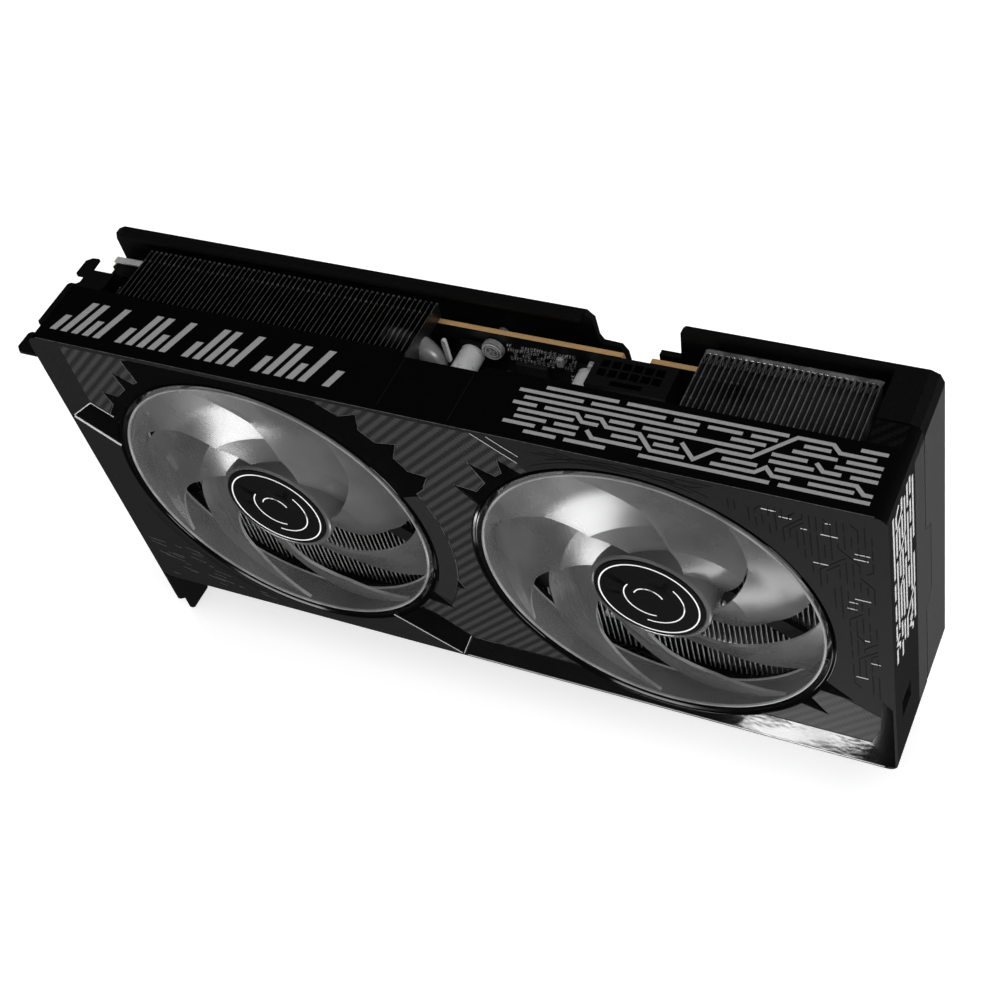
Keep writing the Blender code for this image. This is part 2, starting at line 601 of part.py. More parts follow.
# ---------------------------------------------------------------- back
def backplate():
    top = 107.6
    outline = [(3.0, 0.4), (236.5, 0.4), (238.8, 1.4), (BODY_L, 3.6), (BODY_L, BODY_H - 3.4),
               (238.7, BODY_H - 1.0), (236.4, BODY_H), (174.8, BODY_H), (173.9, 107.0),
               (173.0, 97.6), (167.0, 97.6), (166.6, 90.0), (158.0, 90.0), (157.6, 95.0),
               (156.2, 97.3), (151.2, 97.6), (150.2, 99.5), (149.9, 105.6), (148.0, top),
               (3.4, top), (1.0, 106.4), (0.1, 104.0), (0.1, 3.4), (1.0, 1.2)]
    plate = extrude("backplate", outline, 1, 44.2, BODY_T)
    lip = many("backplate_lip", [
        (rect(4.0, 147.0, top - 1.4, top - 0.1), 1, 42.2, 45.0),
        (rect(4.0, 236.0, 0.6, 2.0), 1, 42.2, 45.0)])
    fuse(plate, lip)
    wrap = extrude("backplate_wrap", [
        (228.4, BODY_H - 1.3), (235.9, BODY_H - 1.3), (237.4, BODY_H - 2.2), (238.1, BODY_H - 3.9),
        (238.1, 3.9), (237.4, 2.2), (235.9, 1.7), (228.4, 1.7), (228.4, 0.4), (236.5, 0.4),
        (238.8, 1.4), (BODY_L, 3.6), (BODY_L, BODY_H - 3.4), (238.7, BODY_H - 1.0),
        (236.4, BODY_H), (228.4, BODY_H)], 1, 28.6, 45.0, cutter=True)
    fuse(plate, wrap)
    window = round_rect(GPU_X - 33.0, GPU_X + 33.0, GPU_Z - 37.0, GPU_Z + 37.0, 4.0, 3)
    slots = [(window, 1, 40.0, 50.0)]
    for k in range(3):
        low = 11.0 + 29.5 * k
        slots.append((round_rect(185.0, 224.0, low, low + 25.5, 3.0, 3), 1, 40.0, 50.0))
    cut(plate, many("backplate_windows", slots))
    finish(plate, "coated_sheet")


def retention():
    frame = extrude("retention_bracket",
                    [(GPU_X - 30.0, GPU_Z - 34.5), (GPU_X - 24.0, GPU_Z - 34.5), (GPU_X - 10.0, GPU_Z - 12.0),
                     (GPU_X + 10.0, GPU_Z - 12.0), (GPU_X + 24.0, GPU_Z - 34.5), (GPU_X + 30.0, GPU_Z - 34.5),
                     (GPU_X + 30.0, GPU_Z - 28.5), (GPU_X + 12.0, GPU_Z - 6.0), (GPU_X + 12.0, GPU_Z + 6.0),
                     (GPU_X + 30.0, GPU_Z + 28.5), (GPU_X + 30.0, GPU_Z + 34.5), (GPU_X + 24.0, GPU_Z + 34.5),
                     (GPU_X + 10.0, GPU_Z + 12.0), (GPU_X - 10.0, GPU_Z + 12.0), (GPU_X - 24.0, GPU_Z + 34.5),
                     (GPU_X - 30.0, GPU_Z + 34.5), (GPU_X - 30.0, GPU_Z + 28.5), (GPU_X - 12.0, GPU_Z + 6.0),
                     (GPU_X - 12.0, GPU_Z - 6.0), (GPU_X - 30.0, GPU_Z - 28.5)], 1, 40.2, 41.4)
    cut(frame, many("retention_holes", [(circle(x, z, 1.8, 12), 1, 38.0, 45.0)
                                        for x, z in SPRING_SPOTS]))
    finish(frame, "shell_metal")
    for k, (x, z) in enumerate(SPRING_SPOTS):
        screw = lathe("spring_screw_%d" % (k + 1), x, z,
                      ((0.0, 36.2), (1.4, 36.2), (1.4, 41.7), (2.8, 41.7), (2.8, 43.6), (1.4, 43.6),
                       (0.9, 42.9), (0.0, 42.9)), 12)
        finish(screw, "screw_steel")
    for k, (x, z) in enumerate(SCREW_SPOTS):
        screw = lathe("board_screw_%d" % (k + 1), x, z,
                      ((0.0, 36.6), (1.2, 36.6), (1.6, 35.9), (3.1, 36.3), (3.1, 37.7), (1.4, 37.7),
                       (1.4, 43.8), (0.0, 43.8)), 14)
        finish(screw, "screw_steel")


io_bracket()
video_connectors()
fan_shroud()
fan_bezels()
face_trims()
for index, side in enumerate(("left", "right")):
    fan(side, FAN_X[index], BLADE_START[index])
fin_stacks()
heat_pipes()
base_block()
circuit_board()
board_parts()
power_socket()
backplate()
retention()
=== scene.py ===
"""Looks of a graphics card with two open-blade fans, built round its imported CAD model.

Lengths are millimetres on the card's own axes: x from the bracket plane along the card,
y from the fan face to the back, z from the lower edge of the shroud. place() turns them
into the model's metres.
"""
import math
import random

import bmesh
import bpy
from mathutils import Euler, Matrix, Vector


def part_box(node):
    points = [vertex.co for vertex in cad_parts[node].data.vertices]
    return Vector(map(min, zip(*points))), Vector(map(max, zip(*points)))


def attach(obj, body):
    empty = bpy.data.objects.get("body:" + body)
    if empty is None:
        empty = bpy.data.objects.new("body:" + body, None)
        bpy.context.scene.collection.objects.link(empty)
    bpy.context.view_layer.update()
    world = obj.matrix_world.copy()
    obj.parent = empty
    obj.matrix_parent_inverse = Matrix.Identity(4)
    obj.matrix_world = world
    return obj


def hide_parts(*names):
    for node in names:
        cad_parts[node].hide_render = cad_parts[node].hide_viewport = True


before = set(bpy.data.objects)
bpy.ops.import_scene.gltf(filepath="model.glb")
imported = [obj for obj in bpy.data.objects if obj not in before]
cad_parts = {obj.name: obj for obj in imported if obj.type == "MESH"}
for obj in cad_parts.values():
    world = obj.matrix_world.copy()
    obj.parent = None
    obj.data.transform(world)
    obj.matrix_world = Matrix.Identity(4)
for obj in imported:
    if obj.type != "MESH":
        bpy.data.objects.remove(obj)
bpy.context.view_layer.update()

MM = 0.001
shroud_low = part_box("fan_shroud")[0]
ORIGIN = Vector((shroud_low.x - 0.1 * MM, shroud_low.y, shroud_low.z))


def card_box(node):
    """Lowest and highest corner of a CAD node on the card's own axes."""
    low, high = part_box(node)
    return (low - ORIGIN) / MM, (high - ORIGIN) / MM


LENGTH = card_box("fan_shroud")[1].x
HEIGHT = card_box("fan_shroud")[1].z
DEPTH = card_box("backplate")[1].y
SIDES = ("left", "right")
FANS = [sum(card_box("impeller_" + side), Vector()) / 2 for side in SIDES]
FAN_X = [centre.x for centre in FANS]
FAN_Z = FANS[0].z
FAN_AT = [(x, FAN_Z) for x in FAN_X]
RING_R = (card_box("impeller_left")[1].x - card_box("impeller_left")[0].x) / 2
WELL_R = RING_R + 1.5
HUB_R = 17.0
CORNER_R = 3.2
FACE_Y = 0.06             # the shell's front; the thin inlays reach from 0 into it
INLAY_Y = FACE_Y + 0.02
SUNK, PROUD = 0.05, 0.04  # how deep a printed mark sits in a face and stands out of it
CUT = 5.0                 # how far a cutting shape reaches past what it cuts
FINE = 128                # sides of the largest round shapes

# the blades fold twice; the pairs are (share of the way from hub to ring, value)
BLADES = 7
BLADE_START = (48.0, 49.5)
BLADE_ROWS = 18
BLADE_COLUMNS = 12
FIRST_FOLD, SECOND_FOLD = 5 / BLADE_ROWS, 11 / BLADE_ROWS
BLADE_LEAD = ((0.0, 0.0), (FIRST_FOLD, 21.0), (SECOND_FOLD, 38.0), (1.0, 62.0))
BLADE_CHORD = ((0.0, 56.0), (FIRST_FOLD, 53.0), (9 / BLADE_ROWS, 46.0), (SECOND_FOLD, 46.0),
               (1.0, 41.0))
BLADE_RISE = ((0.0, 0.3), (FIRST_FOLD, -0.5), (SECOND_FOLD, 1.0), (1.0, 0.2))
BLADE_FRONT_Y = 1.5
BLADE_DEPTH, BLADE_DEPTH_LOSS = 7.2, 1.4
BLADE_HALF_SHEET = 0.5


# -------- shape helpers
def add_object(name, data):
    """A new object in the scene."""
    obj = bpy.data.objects.new(name, data)
    bpy.context.scene.collection.objects.link(obj)
    return obj


def place(x, y, z):
    """A point on the card's own axes in the model's metres."""
    return ORIGIN + Vector((x, y, z)) * MM


def polar(centre, angle, radius):
    """Point at an angle in degrees and a radius round a centre."""
    t = math.radians(angle)
    return (centre[0] + radius * math.cos(t), centre[1] + radius * math.sin(t))


def on_axis(axis, a, b, depth):
    """Point from a flat outline's two values and its depth along one axis."""
    return place(*{0: (depth, a, b), 1: (a, depth, b), 2: (a, b, depth)}[axis])


def prism(bm, outline, axis, low, high):
    """Closed prism of a flat outline pushed along one axis."""
    near = [bm.verts.new(on_axis(axis, a, b, low)) for a, b in outline]
    far = [bm.verts.new(on_axis(axis, a, b, high)) for a, b in outline]
    bm.faces.new(near)
    bm.faces.new(far[::-1])
    for k in range(len(near)):
        m = (k + 1) % len(near)
        bm.faces.new((near[k], far[k], far[m], near[m]))


def solid(*prisms):
    """One shape of several prisms: (outline, axis, low, high)."""
    bm = bmesh.new()
    for outline, axis, low, high in prisms:
        prism(bm, outline, axis, low, high)
    return bm


def rect(a0, a1, b0, b1):
    """Rectangle as an outline."""
    return [(a0, b0), (a1, b0), (a1, b1), (a0, b1)]


def round_rect(a0, a1, b0, b1, radius, steps=6):
    """Rectangle with rounded corners as an outline."""
    corners = ((a1 - radius, b1 - radius, 0), (a0 + radius, b1 - radius, 90),
               (a0 + radius, b0 + radius, 180), (a1 - radius, b0 + radius, 270))
    return [polar((ca, cb), start + 90.0 * k / steps, radius)
            for ca, cb, start in corners for k in range(steps + 1)]


def circle(ca, cb, radius, count=96):
    """Circle as an outline of many short sides."""
    return [polar((ca, cb), 360.0 * k / count, radius) for k in range(count)]


def turn(bm, x, z, profile, count=96, closed=True):
    """Turn a (radius, y) profile about an axis along y; an open one gets two flat ends."""
    rings = []
    for k in range(count):
        a, b = polar((0.0, 0.0), 360.0 * k / count, 1.0)
        rings.append([bm.verts.new(place(x + r * a, y, z + r * b)) for r, y in profile])
    last = len(profile) if closed else len(profile) - 1
    for k in range(count):
        here, there = rings[k], rings[(k + 1) % count]
        for j in range(last):
            m = (j + 1) % len(profile)
            bm.faces.new((here[j], here[m], there[m], there[j]))
    if not closed:
        bm.faces.new([ring[0] for ring in rings])
        bm.faces.new([ring[-1] for ring in rings][::-1])


def ribbon(bm, points, width, axis, low, high):
    """Flat strip along an open line of points, mitred at its bends."""
    def normal(p, q):
        d = Vector((q[0] - p[0], q[1] - p[1])).normalized()
        return Vector((-d.y, d.x))
    left, right = [], []
    for k, point in enumerate(points):
        sides = []
        if k > 0:
            sides.append(normal(points[k - 1], point))
        if k < len(points) - 1:
            sides.append(normal(point, points[k + 1]))
        mean = sum(sides, Vector((0.0, 0.0))).normalized()
        reach = width / 2 / max(mean.dot(sides[0]), 0.5)
        left.append((point[0] + mean.x * reach, point[1] + mean.y * reach))
        right.append((point[0] - mean.x * reach, point[1] - mean.y * reach))
    for k in range(len(points) - 1):
        prism(bm, [left[k], left[k + 1], right[k + 1], right[k]], axis, low, high)


def tube(bm, path, radius, sides=20):
    """Round tube with closed ends along a list of points on the card's axes."""
    path = [Vector(p) for p in path]
    side = None
    rings = []
    for k, point in enumerate(path):
        ahead = (path[min(k + 1, len(path) - 1)] - path[max(k - 1, 0)]).normalized()
        if side is None:
            side = ahead.orthogonal().normalized()
        side = (side - ahead * side.dot(ahead)).normalized()
        other = ahead.cross(side)
        rings.append([bm.verts.new(place(*(point + (side * a + other * b) * radius)))
                      for a, b in circle(0.0, 0.0, 1.0, sides)])
    for here, there in zip(rings, rings[1:]):
        for k in range(sides):
            bm.faces.new((here[k], here[(k + 1) % sides], there[(k + 1) % sides], there[k]))
    bm.faces.new(rings[0][::-1])
    bm.faces.new(rings[-1])


def carve(bm, tool, operation="DIFFERENCE"):
    """Cut or join two closed shapes."""
    objects = []
    for shape in (bm, tool):
        bmesh.ops.recalc_face_normals(shape, faces=shape.faces)
        mesh = bpy.data.meshes.new("carving")
        shape.to_mesh(mesh)
        shape.free()
        objects.append(add_object("carving", mesh))
    step = objects[0].modifiers.new("carve", "BOOLEAN")
    step.object, step.operation, step.solver = objects[1], operation, "EXACT"
    bpy.context.view_layer.update()
    done = objects[0].evaluated_get(bpy.context.evaluated_depsgraph_get()).to_mesh()
    result = bmesh.new()
    result.from_mesh(done)
    for obj in objects:
        mesh = obj.data
        bpy.data.objects.remove(obj, do_unlink=True)
        bpy.data.meshes.remove(mesh)
    return result


def piece(name, bm, finish, body="card", stands_for=(), bevel=0.0, sharp=35.0):
    """Turn a shape into a named piece on a body, with its material."""
    bmesh.ops.remove_doubles(bm, verts=bm.verts, dist=0.002 * MM)
    bmesh.ops.recalc_face_normals(bm, faces=bm.faces)
    mesh = bpy.data.meshes.new(name)
    bm.to_mesh(mesh)
    bm.free()
    obj = add_object(name, mesh)
    material, slot = finish
    mesh.materials.append(material)
    mesh.polygons.foreach_set("use_smooth", [True] * len(mesh.polygons))
    mesh.set_sharp_from_angle(angle=math.radians(sharp))
    if bevel:
        edge = obj.modifiers.new("edges", "BEVEL")
        edge.width = bevel * MM
        edge.segments = 2
        edge.limit_method = "ANGLE"
        edge.angle_limit = math.radians(sharp)
        edge.harden_normals = True
    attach(obj, body)
    if stands_for:
        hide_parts(*stands_for)
    return obj


# -------- materials
def node(tree, kind, **values):
    """A new shader node with its inputs or settings filled in by name."""
    made = tree.nodes.new("ShaderNode" + kind)
    for key, value in values.items():
        if key in made.inputs.keys():
            made.inputs[key].default_value = value
        else:
            setattr(made, key, value)
    return made


def grey(value):
    """Neutral colour, a touch cool."""
    return (value, value, value * 1.01, 1.0)


NOISE_LOW, NOISE_HIGH = 0.3, 0.7   # nearly all of the noise lies between these


def surface(name, tones, rough, grain=900.0, relief=0.05, stretch=(1, 1, 1), specular=0.5,
            **sockets):
    """Material whose tone, roughness and fine relief follow a noise of the given grain."""
    material = bpy.data.materials.new(name)
    material.use_nodes = True
    tree = material.node_tree
    link = tree.links.new
    shader = tree.nodes["Principled BSDF"]
    shader.inputs["Specular IOR Level"].default_value = specular
    for key, value in sockets.items():
        shader.inputs[key.replace("_", " ")].default_value = value
    where = node(tree, "TexCoord")
    scaled = node(tree, "Mapping", Scale=stretch)
    noise = node(tree, "TexNoise", Scale=grain, Detail=4.0, Roughness=0.6)
    link(where.outputs["Object"], scaled.inputs["Vector"])
    link(scaled.outputs["Vector"], noise.inputs["Vector"])
    ramp = node(tree, "ValToRGB")
    for stop, at, tone in zip(ramp.color_ramp.elements, (NOISE_LOW, NOISE_HIGH), tones):
        stop.position = at
        stop.color = tone if isinstance(tone, tuple) else grey(tone)
    link(noise.outputs["Fac"], ramp.inputs["Fac"])
    link(ramp.outputs["Color"], shader.inputs["Base Color"])
    spread = node(tree, "MapRange")
    spread.inputs["From Min"].default_value = NOISE_LOW
    spread.inputs["From Max"].default_value = NOISE_HIGH
    spread.inputs["To Min"].default_value, spread.inputs["To Max"].default_value = rough
    link(noise.outputs["Fac"], spread.inputs["Value"])
    link(spread.outputs["Result"], shader.inputs["Roughness"])
    if relief:
        bump = node(tree, "Bump", Strength=relief, Distance=0.0002)
        link(noise.outputs["Fac"], bump.inputs["Height"])
        link(bump.outputs["Normal"], shader.inputs["Normal"])
    return material


def math_node(tree, operation, a, b=None):
    """Output of a Math node fed by numbers or by other outputs."""
    made = node(tree, "Math", operation=operation)
    for socket, value in zip(made.inputs, (a, b)):
        if value is None:
            continue
        if isinstance(value, (int, float)):
            socket.default_value = value
        else:
            tree.links.new(value, socket)
    return made.outputs[0]


def weave(name, tones, rough, across, up, tow=0.95):
    """Twill weave of flat tows on the plane of two object axes, each tow crowned."""
    material = surface(name, tones, rough, grain=2500.0, relief=0.0)
    tree = material.node_tree
    link = tree.links.new
    shader = tree.nodes["Principled BSDF"]
    split = node(tree, "SeparateXYZ")
    link(tree.nodes["Texture Coordinate"].outputs["Object"], split.inputs["Vector"])
    a = math_node(tree, "DIVIDE", split.outputs[across], tow * MM)
    b = math_node(tree, "DIVIDE", split.outputs[up], tow * MM)
    steps = math_node(tree, "SUBTRACT", math_node(tree, "FLOOR", a), math_node(tree, "FLOOR", b))
    turnover = math_node(tree, "FLOORED_MODULO", steps, 4.0)
    over = math_node(tree, "LESS_THAN", turnover, 1.5)
    crown_a = math_node(tree, "PINGPONG", a, 0.5)
    crown_b = math_node(tree, "PINGPONG", b, 0.5)
    height = node(tree, "Mix", data_type="FLOAT")
    link(over, height.inputs[0])
    link(crown_a, height.inputs[2])
    link(crown_b, height.inputs[3])
    bump = node(tree, "Bump", Strength=0.12, Distance=0.0003)
    link(height.outputs[0], bump.inputs["Height"])
    link(bump.outputs["Normal"], shader.inputs["Normal"])
    tone = node(tree, "Mix", data_type="RGBA")
    tone.inputs[6].default_value, tone.inputs[7].default_value = grey(tones[0]), grey(tones[1])
    link(over, tone.inputs[0])
    link(tone.outputs[2], shader.inputs["Base Color"])
    return material


def edge_board(name):
    """Dark solder mask on the board's faces, bare resin on its sawn edges."""
    material = surface(name, (0.004, 0.010), (0.35, 0.5), grain=1400.0, relief=0.08,
                       specular=0.25)
    tree = material.node_tree
    link = tree.links.new
    shader = tree.nodes["Principled BSDF"]
    mask_tone = tree.nodes["Color Ramp"].outputs["Color"]
    facing = node(tree, "NewGeometry")
    split = node(tree, "SeparateXYZ")
    link(facing.outputs["True Normal"], split.inputs["Vector"])
    flat = math_node(tree, "ABSOLUTE", split.outputs["Y"])
    on_edge = math_node(tree, "LESS_THAN", flat, 0.5)
    fibre = node(tree, "ValToRGB")
    fibre.color_ramp.elements[0].color = (0.36, 0.21, 0.085, 1.0)
    fibre.color_ramp.elements[1].color = (0.62, 0.40, 0.19, 1.0)
    link(tree.nodes["Noise Texture"].outputs["Fac"], fibre.inputs["Fac"])
    mixed = node(tree, "Mix", data_type="RGBA")
    link(on_edge, mixed.inputs[0])
    link(mask_tone, mixed.inputs[6])
    link(fibre.outputs["Color"], mixed.inputs[7])
    link(mixed.outputs[2], shader.inputs["Base Color"])
    return material


# a finish is a material and the slot it belongs to
SHELL = (surface("shell_satin", (0.0075, 0.0105), (0.42, 0.52), 1600.0, 0.12, specular=0.15),
         "satin_shell")
# the shell's darker copy for its top faces: painted shade
TOP_PAINTED_SHADE = (surface("top_satin_painted_shade", (0.0014, 0.0022), (0.55, 0.62), 1600.0, 0.10, specular=0.03),
       "satin_shell")
SMOOTH = (surface("panel_smooth", (0.014, 0.019), (0.30, 0.38), 700.0, 0.04, specular=0.2),
          "satin_shell")
# the shell's lighter copy for the far end: painted light
END_PANEL_PAINTED_LIGHT = (surface("end_satin_painted_light", (0.040, 0.055), (0.42, 0.52), 1600.0, 0.12, specular=0.22),
             "satin_shell")
WEAVE = (weave("weave_front", (0.010, 0.030), (0.34, 0.42), "X", "Z"), "satin_shell")
# the weave's darker copy for the top: painted shade
WEAVE_TOP_PAINTED_SHADE = (weave("weave_top", (0.0012, 0.004), (0.34, 0.42), "X", "Y"), "satin_shell")
# the weave's lighter copy for the far end: painted light
WEAVE_END_PAINTED_LIGHT = (weave("weave_end", (0.030, 0.060), (0.34, 0.42), "Y", "Z"), "satin_shell")
GLOSS = (surface("gloss_black", (0.0008, 0.0018), (0.06, 0.12), 60.0, 0.01, specular=0.28),
         "gloss_trim")
GLOSS_WAVE = (surface("gloss_wavy", (0.0018, 0.0034), (0.06, 0.12), 45.0, 0.9, specular=0.45),
              "gloss_trim")
CHROME = (surface("chrome_line", (0.55, 0.75), (0.16, 0.26), 300.0, 0.02, Metallic=0.35),
          "gloss_trim")
GROOVE = (surface("etched_groove", (0.0008, 0.0020), (0.5, 0.6), 2000.0, 0.05, specular=0.15),
          "satin_shell")
# grey strips: painted edge highlights on the bezels and the top's front edge, and the faint printed
# dashes
EDGE_HIGHLIGHT_AND_DASH = (surface("edge_line", (0.03, 0.12), (0.4, 0.5), 900.0, 0.04), "satin_shell")
PRINT = (surface("print_grey", (0.30, 0.40), (0.40, 0.50), 2600.0, 0.04, specular=0.2),
         "gloss_trim")
BRIGHT = (surface("print_bright", (0.42, 0.60), (0.30, 0.45), 2600.0, 0.04), "gloss_trim")
BLADE = (surface("smoky_resin", (0.052, 0.090), (0.24, 0.32), 40.0, 0.0, Alpha=0.82,
                 specular=1.0, Coat_Weight=0.7, Coat_Roughness=0.20), "fan_resin")
CLEAR = (surface("clear_resin", (0.20, 0.30), (0.08, 0.14), 60.0, 0.0, Alpha=0.25, specular=0.7),
         "fan_resin")
# lighter resin on the blades' cut edges and the ring rims: painted highlight
RESIN_EDGE_PAINTED_HIGHLIGHT = (surface("resin_edge_painted_highlight", (0.14, 0.30), (0.14, 0.22), 80.0, 0.0, Alpha=0.9, specular=0.8),
             "fan_resin")
LABEL = (surface("label_dark", (0.004, 0.006), (0.50, 0.60), 1800.0, 0.06, specular=0.03),
         "label_film")
MARK = (surface("label_white", (0.70, 0.82), (0.4, 0.5), 1500.0, 0.03), "label_film")
FIN = (surface("fin_metal", (0.08, 0.14), (0.26, 0.40), 500.0, 0.04, (1, 1, 6), Metallic=1.0),
       "fin_sheet")
# near-white copy of the fin metal for the folded front edges: painted highlight
FIN_EDGE_PAINTED_HIGHLIGHT = (surface("fin_edge_painted_highlight", (0.80, 0.95), (0.25, 0.35), 500.0, 0.04, Metallic=0.1),
            "fin_sheet")
# large pale patches on the right fins' plates: painted reflection
FIN_PAINTED_SHEEN = (surface("fin_painted_sheen", (0.02, 0.60), (0.26, 0.40), 26.0, 0.0, Metallic=0.7), "fin_sheet")
FIN_TOP = (surface("fin_top_metal", (0.018, 0.14), (0.30, 0.40), 900.0, 0.04, Metallic=0.2),
           "fin_sheet")
FIN_BAR = (surface("fin_bar_metal", (0.15, 0.60), (0.20, 0.32), 300.0, 0.05, Metallic=0.8),
           "fin_sheet")
PIPE = (surface("pipe_nickel", (0.30, 0.42), (0.24, 0.36), 250.0, 0.01, (3, 1, 1), Metallic=0.5),
        "nickel_pipe")
BEND = (surface("bend_nickel", (0.16, 0.34), (0.26, 0.40), 160.0, 0.02, Metallic=0.3),
        "nickel_pipe")
COPPER = (surface("base_plated", (0.48, 0.62), (0.25, 0.4), 400.0, 0.05, (8, 1, 1), Metallic=1.0),
          "copper_base")
BOARD = (edge_board("board_resin"), "board")
CHIP = (surface("chip_moulded", (0.010, 0.022), (0.45, 0.60), 2200.0, 0.15), "chip_resin")
FERRITE = (surface("ferrite_grain", (0.06, 0.12), (0.5, 0.7), 2600.0, 0.3), "ferrite")
CAN = (surface("can_aluminium", (0.66, 0.74), (0.24, 0.32), 120.0, 0.0, Metallic=0.35), "can_metal")
PLUG = (surface("plug_black", (0.003, 0.007), (0.5, 0.65), 1500.0, 0.1, specular=0.2), "plug_resin")
METAL = (surface("socket_shell", (0.45, 0.62), (0.25, 0.4), 500.0, 0.05, Metallic=1.0),
         "shell_metal")
STEEL = (surface("screw_steel", (0.35, 0.55), (0.25, 0.4), 700.0, 0.08, Metallic=0.6),
         "screw_steel")
SHEET = (surface("coated_sheet", (0.003, 0.006), (0.40, 0.50), 1800.0, 0.12, specular=0.10),
         "coated_sheet")
COIL = (surface("coil_wire", ((0.35, 0.14, 0.05, 1), (0.55, 0.26, 0.11, 1)), (0.3, 0.45),
                900.0, 0.3, (1, 8, 1), Metallic=0.8), "coil")
MAGNET = (surface("magnet_grain", (0.05, 0.09), (0.4, 0.6), 1500.0, 0.15), "magnet")
SILICON = (surface("die_mirror", (0.20, 0.28), (0.08, 0.16), 250.0, 0.01, Metallic=0.6), "silicon")
GOLD = (surface("gold_plate", ((0.72, 0.48, 0.16, 1), (0.86, 0.62, 0.26, 1)), (0.2, 0.3),
                800.0, 0.03, Metallic=1.0), "board")
SOLDER = (surface("solder_ends", (0.35, 0.75), (0.2, 0.35), 900.0, 0.05, Metallic=0.3), "can_metal")


def paint_cad_nodes():
    """Give every CAD node that stays in view its material."""
    choices = (("io_bracket", SHEET), ("display_socket", METAL), ("hdmi_style", METAL),
               ("rotor_magnet", MAGNET), ("fan_shaft", STEEL), ("stator_coil", COIL),
               ("bearing_sleeve", CAN), ("fan_frame", PLUG), ("heat_pipe", PIPE),
               ("cold_plate", COPPER), ("circuit_board", BOARD), ("gpu_package", CHIP),
               ("gpu_die", SILICON), ("memory_chip", CHIP), ("power_inductor", FERRITE),
               ("can_capacitor", CAN), ("driver_chip", CHIP), ("power_socket", PLUG),
               ("backplate", SHEET), ("retention", STEEL), ("spring_screw", STEEL),
               ("board_screw", STEEL))
    for name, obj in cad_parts.items():
        for start, (material, _) in choices:
            if name.startswith(start):
                for spot in obj.material_slots:
                    spot.material = material


# -------- shroud
SIDE_WALL, END_WALL, FRONT_WALL = 1.2, 1.6, 2.0
SHELL_X = 0.1
SHELL_BACK_Y = 28.2
OPEN_X, OPEN_Y = 228.2, 20.8   # the shell's back is open up to this x, from this y on
TOP_BAND = 3.0                 # faces this near the top take the shell's darker copy, painted shade
TOP_DIP = [(105.6, 21.5), (108.6, 18.8), (129.4, 18.8), (132.4, 21.5)]
CABLE_HOLE = rect(5.6, 13.4, 18.7, 26.0)
WELL_BACK_Y = 12.3
RECESS_Y = 1.0
TRIM_Y0, TRIM_Y1 = 0.1, 0.95
LIP_R = 50.0
# (offset from the well's radius, y)
LINER_PROFILE = ((0.2, 0.9), (0.2, 0.45), (0.1, 0.3), (-0.1, 0.25), (-0.3, 0.35), (-0.4, 0.6),
                 (-0.4, 12.2), (0.2, 12.2))
# bands are (from angle, to angle, radius), teeth are (angle, reach), for each fan
BEZEL_BANDS = (((-14, 24, 56.5), (24, 122, 60.5), (122, 150, 53.0)), ((126, 150, 52.5),))
BEZEL_TEETH = (((-30, 57.5), (-17, 59), (29, 65), (40, 66), (51, 66), (128, 59.5), (140, 57.5)),
               ((-36, 57), (-24, 58.5), (127, 56.5), (136, 60), (148, 58.5)))
TOOTH_HALF = 3.0
BAND_EASE = 1.5                # degrees on each side of a band's end where its edge slopes
MOON_R = 56.2
BEZEL_STEP = 3
BEZEL_Z = (1.9, HEIGHT - 1.3)


def bezel_radius(fan, angle):
    """Outer radius of the glossy ring at an angle, between its teeth."""
    for low, high, radius in BEZEL_BANDS[fan]:
        if low <= angle <= high:
            return radius
    return LIP_R


def bezel_edge(fan):
    """Outer edge of the glossy ring as (angle, radius, is a tooth's tip)."""
    teeth = BEZEL_TEETH[fan]
    marks = []
    for low, high, radius in BEZEL_BANDS[fan]:
        before, after = low - BAND_EASE, high + BAND_EASE
        marks += [(before, bezel_radius(fan, before)), (low + BAND_EASE, radius),
                  (high - BAND_EASE, radius), (after, bezel_radius(fan, after))]
    marks += [(angle, bezel_radius(fan, angle)) for angle in range(-60, 300, BEZEL_STEP)]
    marks = [mark for mark in marks if all(abs(mark[0] - tip) > TOOTH_HALF for tip, _ in teeth)]
    for tip, _ in teeth:
        for foot in (tip - TOOTH_HALF, tip + TOOTH_HALF):
            marks.append((foot, bezel_radius(fan, foot)))
    edge = [(angle, radius, False) for angle, radius in marks]
    edge += [(tip, reach, True) for tip, reach in teeth]
    return sorted({round(mark[0], 3): mark for mark in edge}.values())


def bezel_outline(fan, grow=0.0):
    """The ring's outer edge as an outline, kept on the face and pushed outwards by grow."""
    points = []
    for angle, radius, tip in bezel_edge(fan):
        x, z = polar(FAN_AT[fan], angle, radius + grow * (2.0 if tip else 1.0))
        points.append((x, min(max(z, BEZEL_Z[0] - grow), BEZEL_Z[1] + grow)))
    return points


LEFT_TRIM = ((0.9, 75.9), (10.7, 84.0), (17.1, 79.6), (18.4, 65.2), (13.5, 66.5))
CORNER_TRIM = ((87.4, 12.9), (100.4, 20.9), (104.5, 18.9), (113.8, 11.9), (108.5, 0.6))
LOWER_TRIM = ((109.4, 0.6), (236.5, 0.6), (233.4, 11.6), (114.5, 11.6))
CORNER_INLAY = ((236.3, 32.8), (235.4, 19.1), (232.9, 12.2), (236.4, 0.9), (239.0, 1.8),
                (239.0, 29.7))
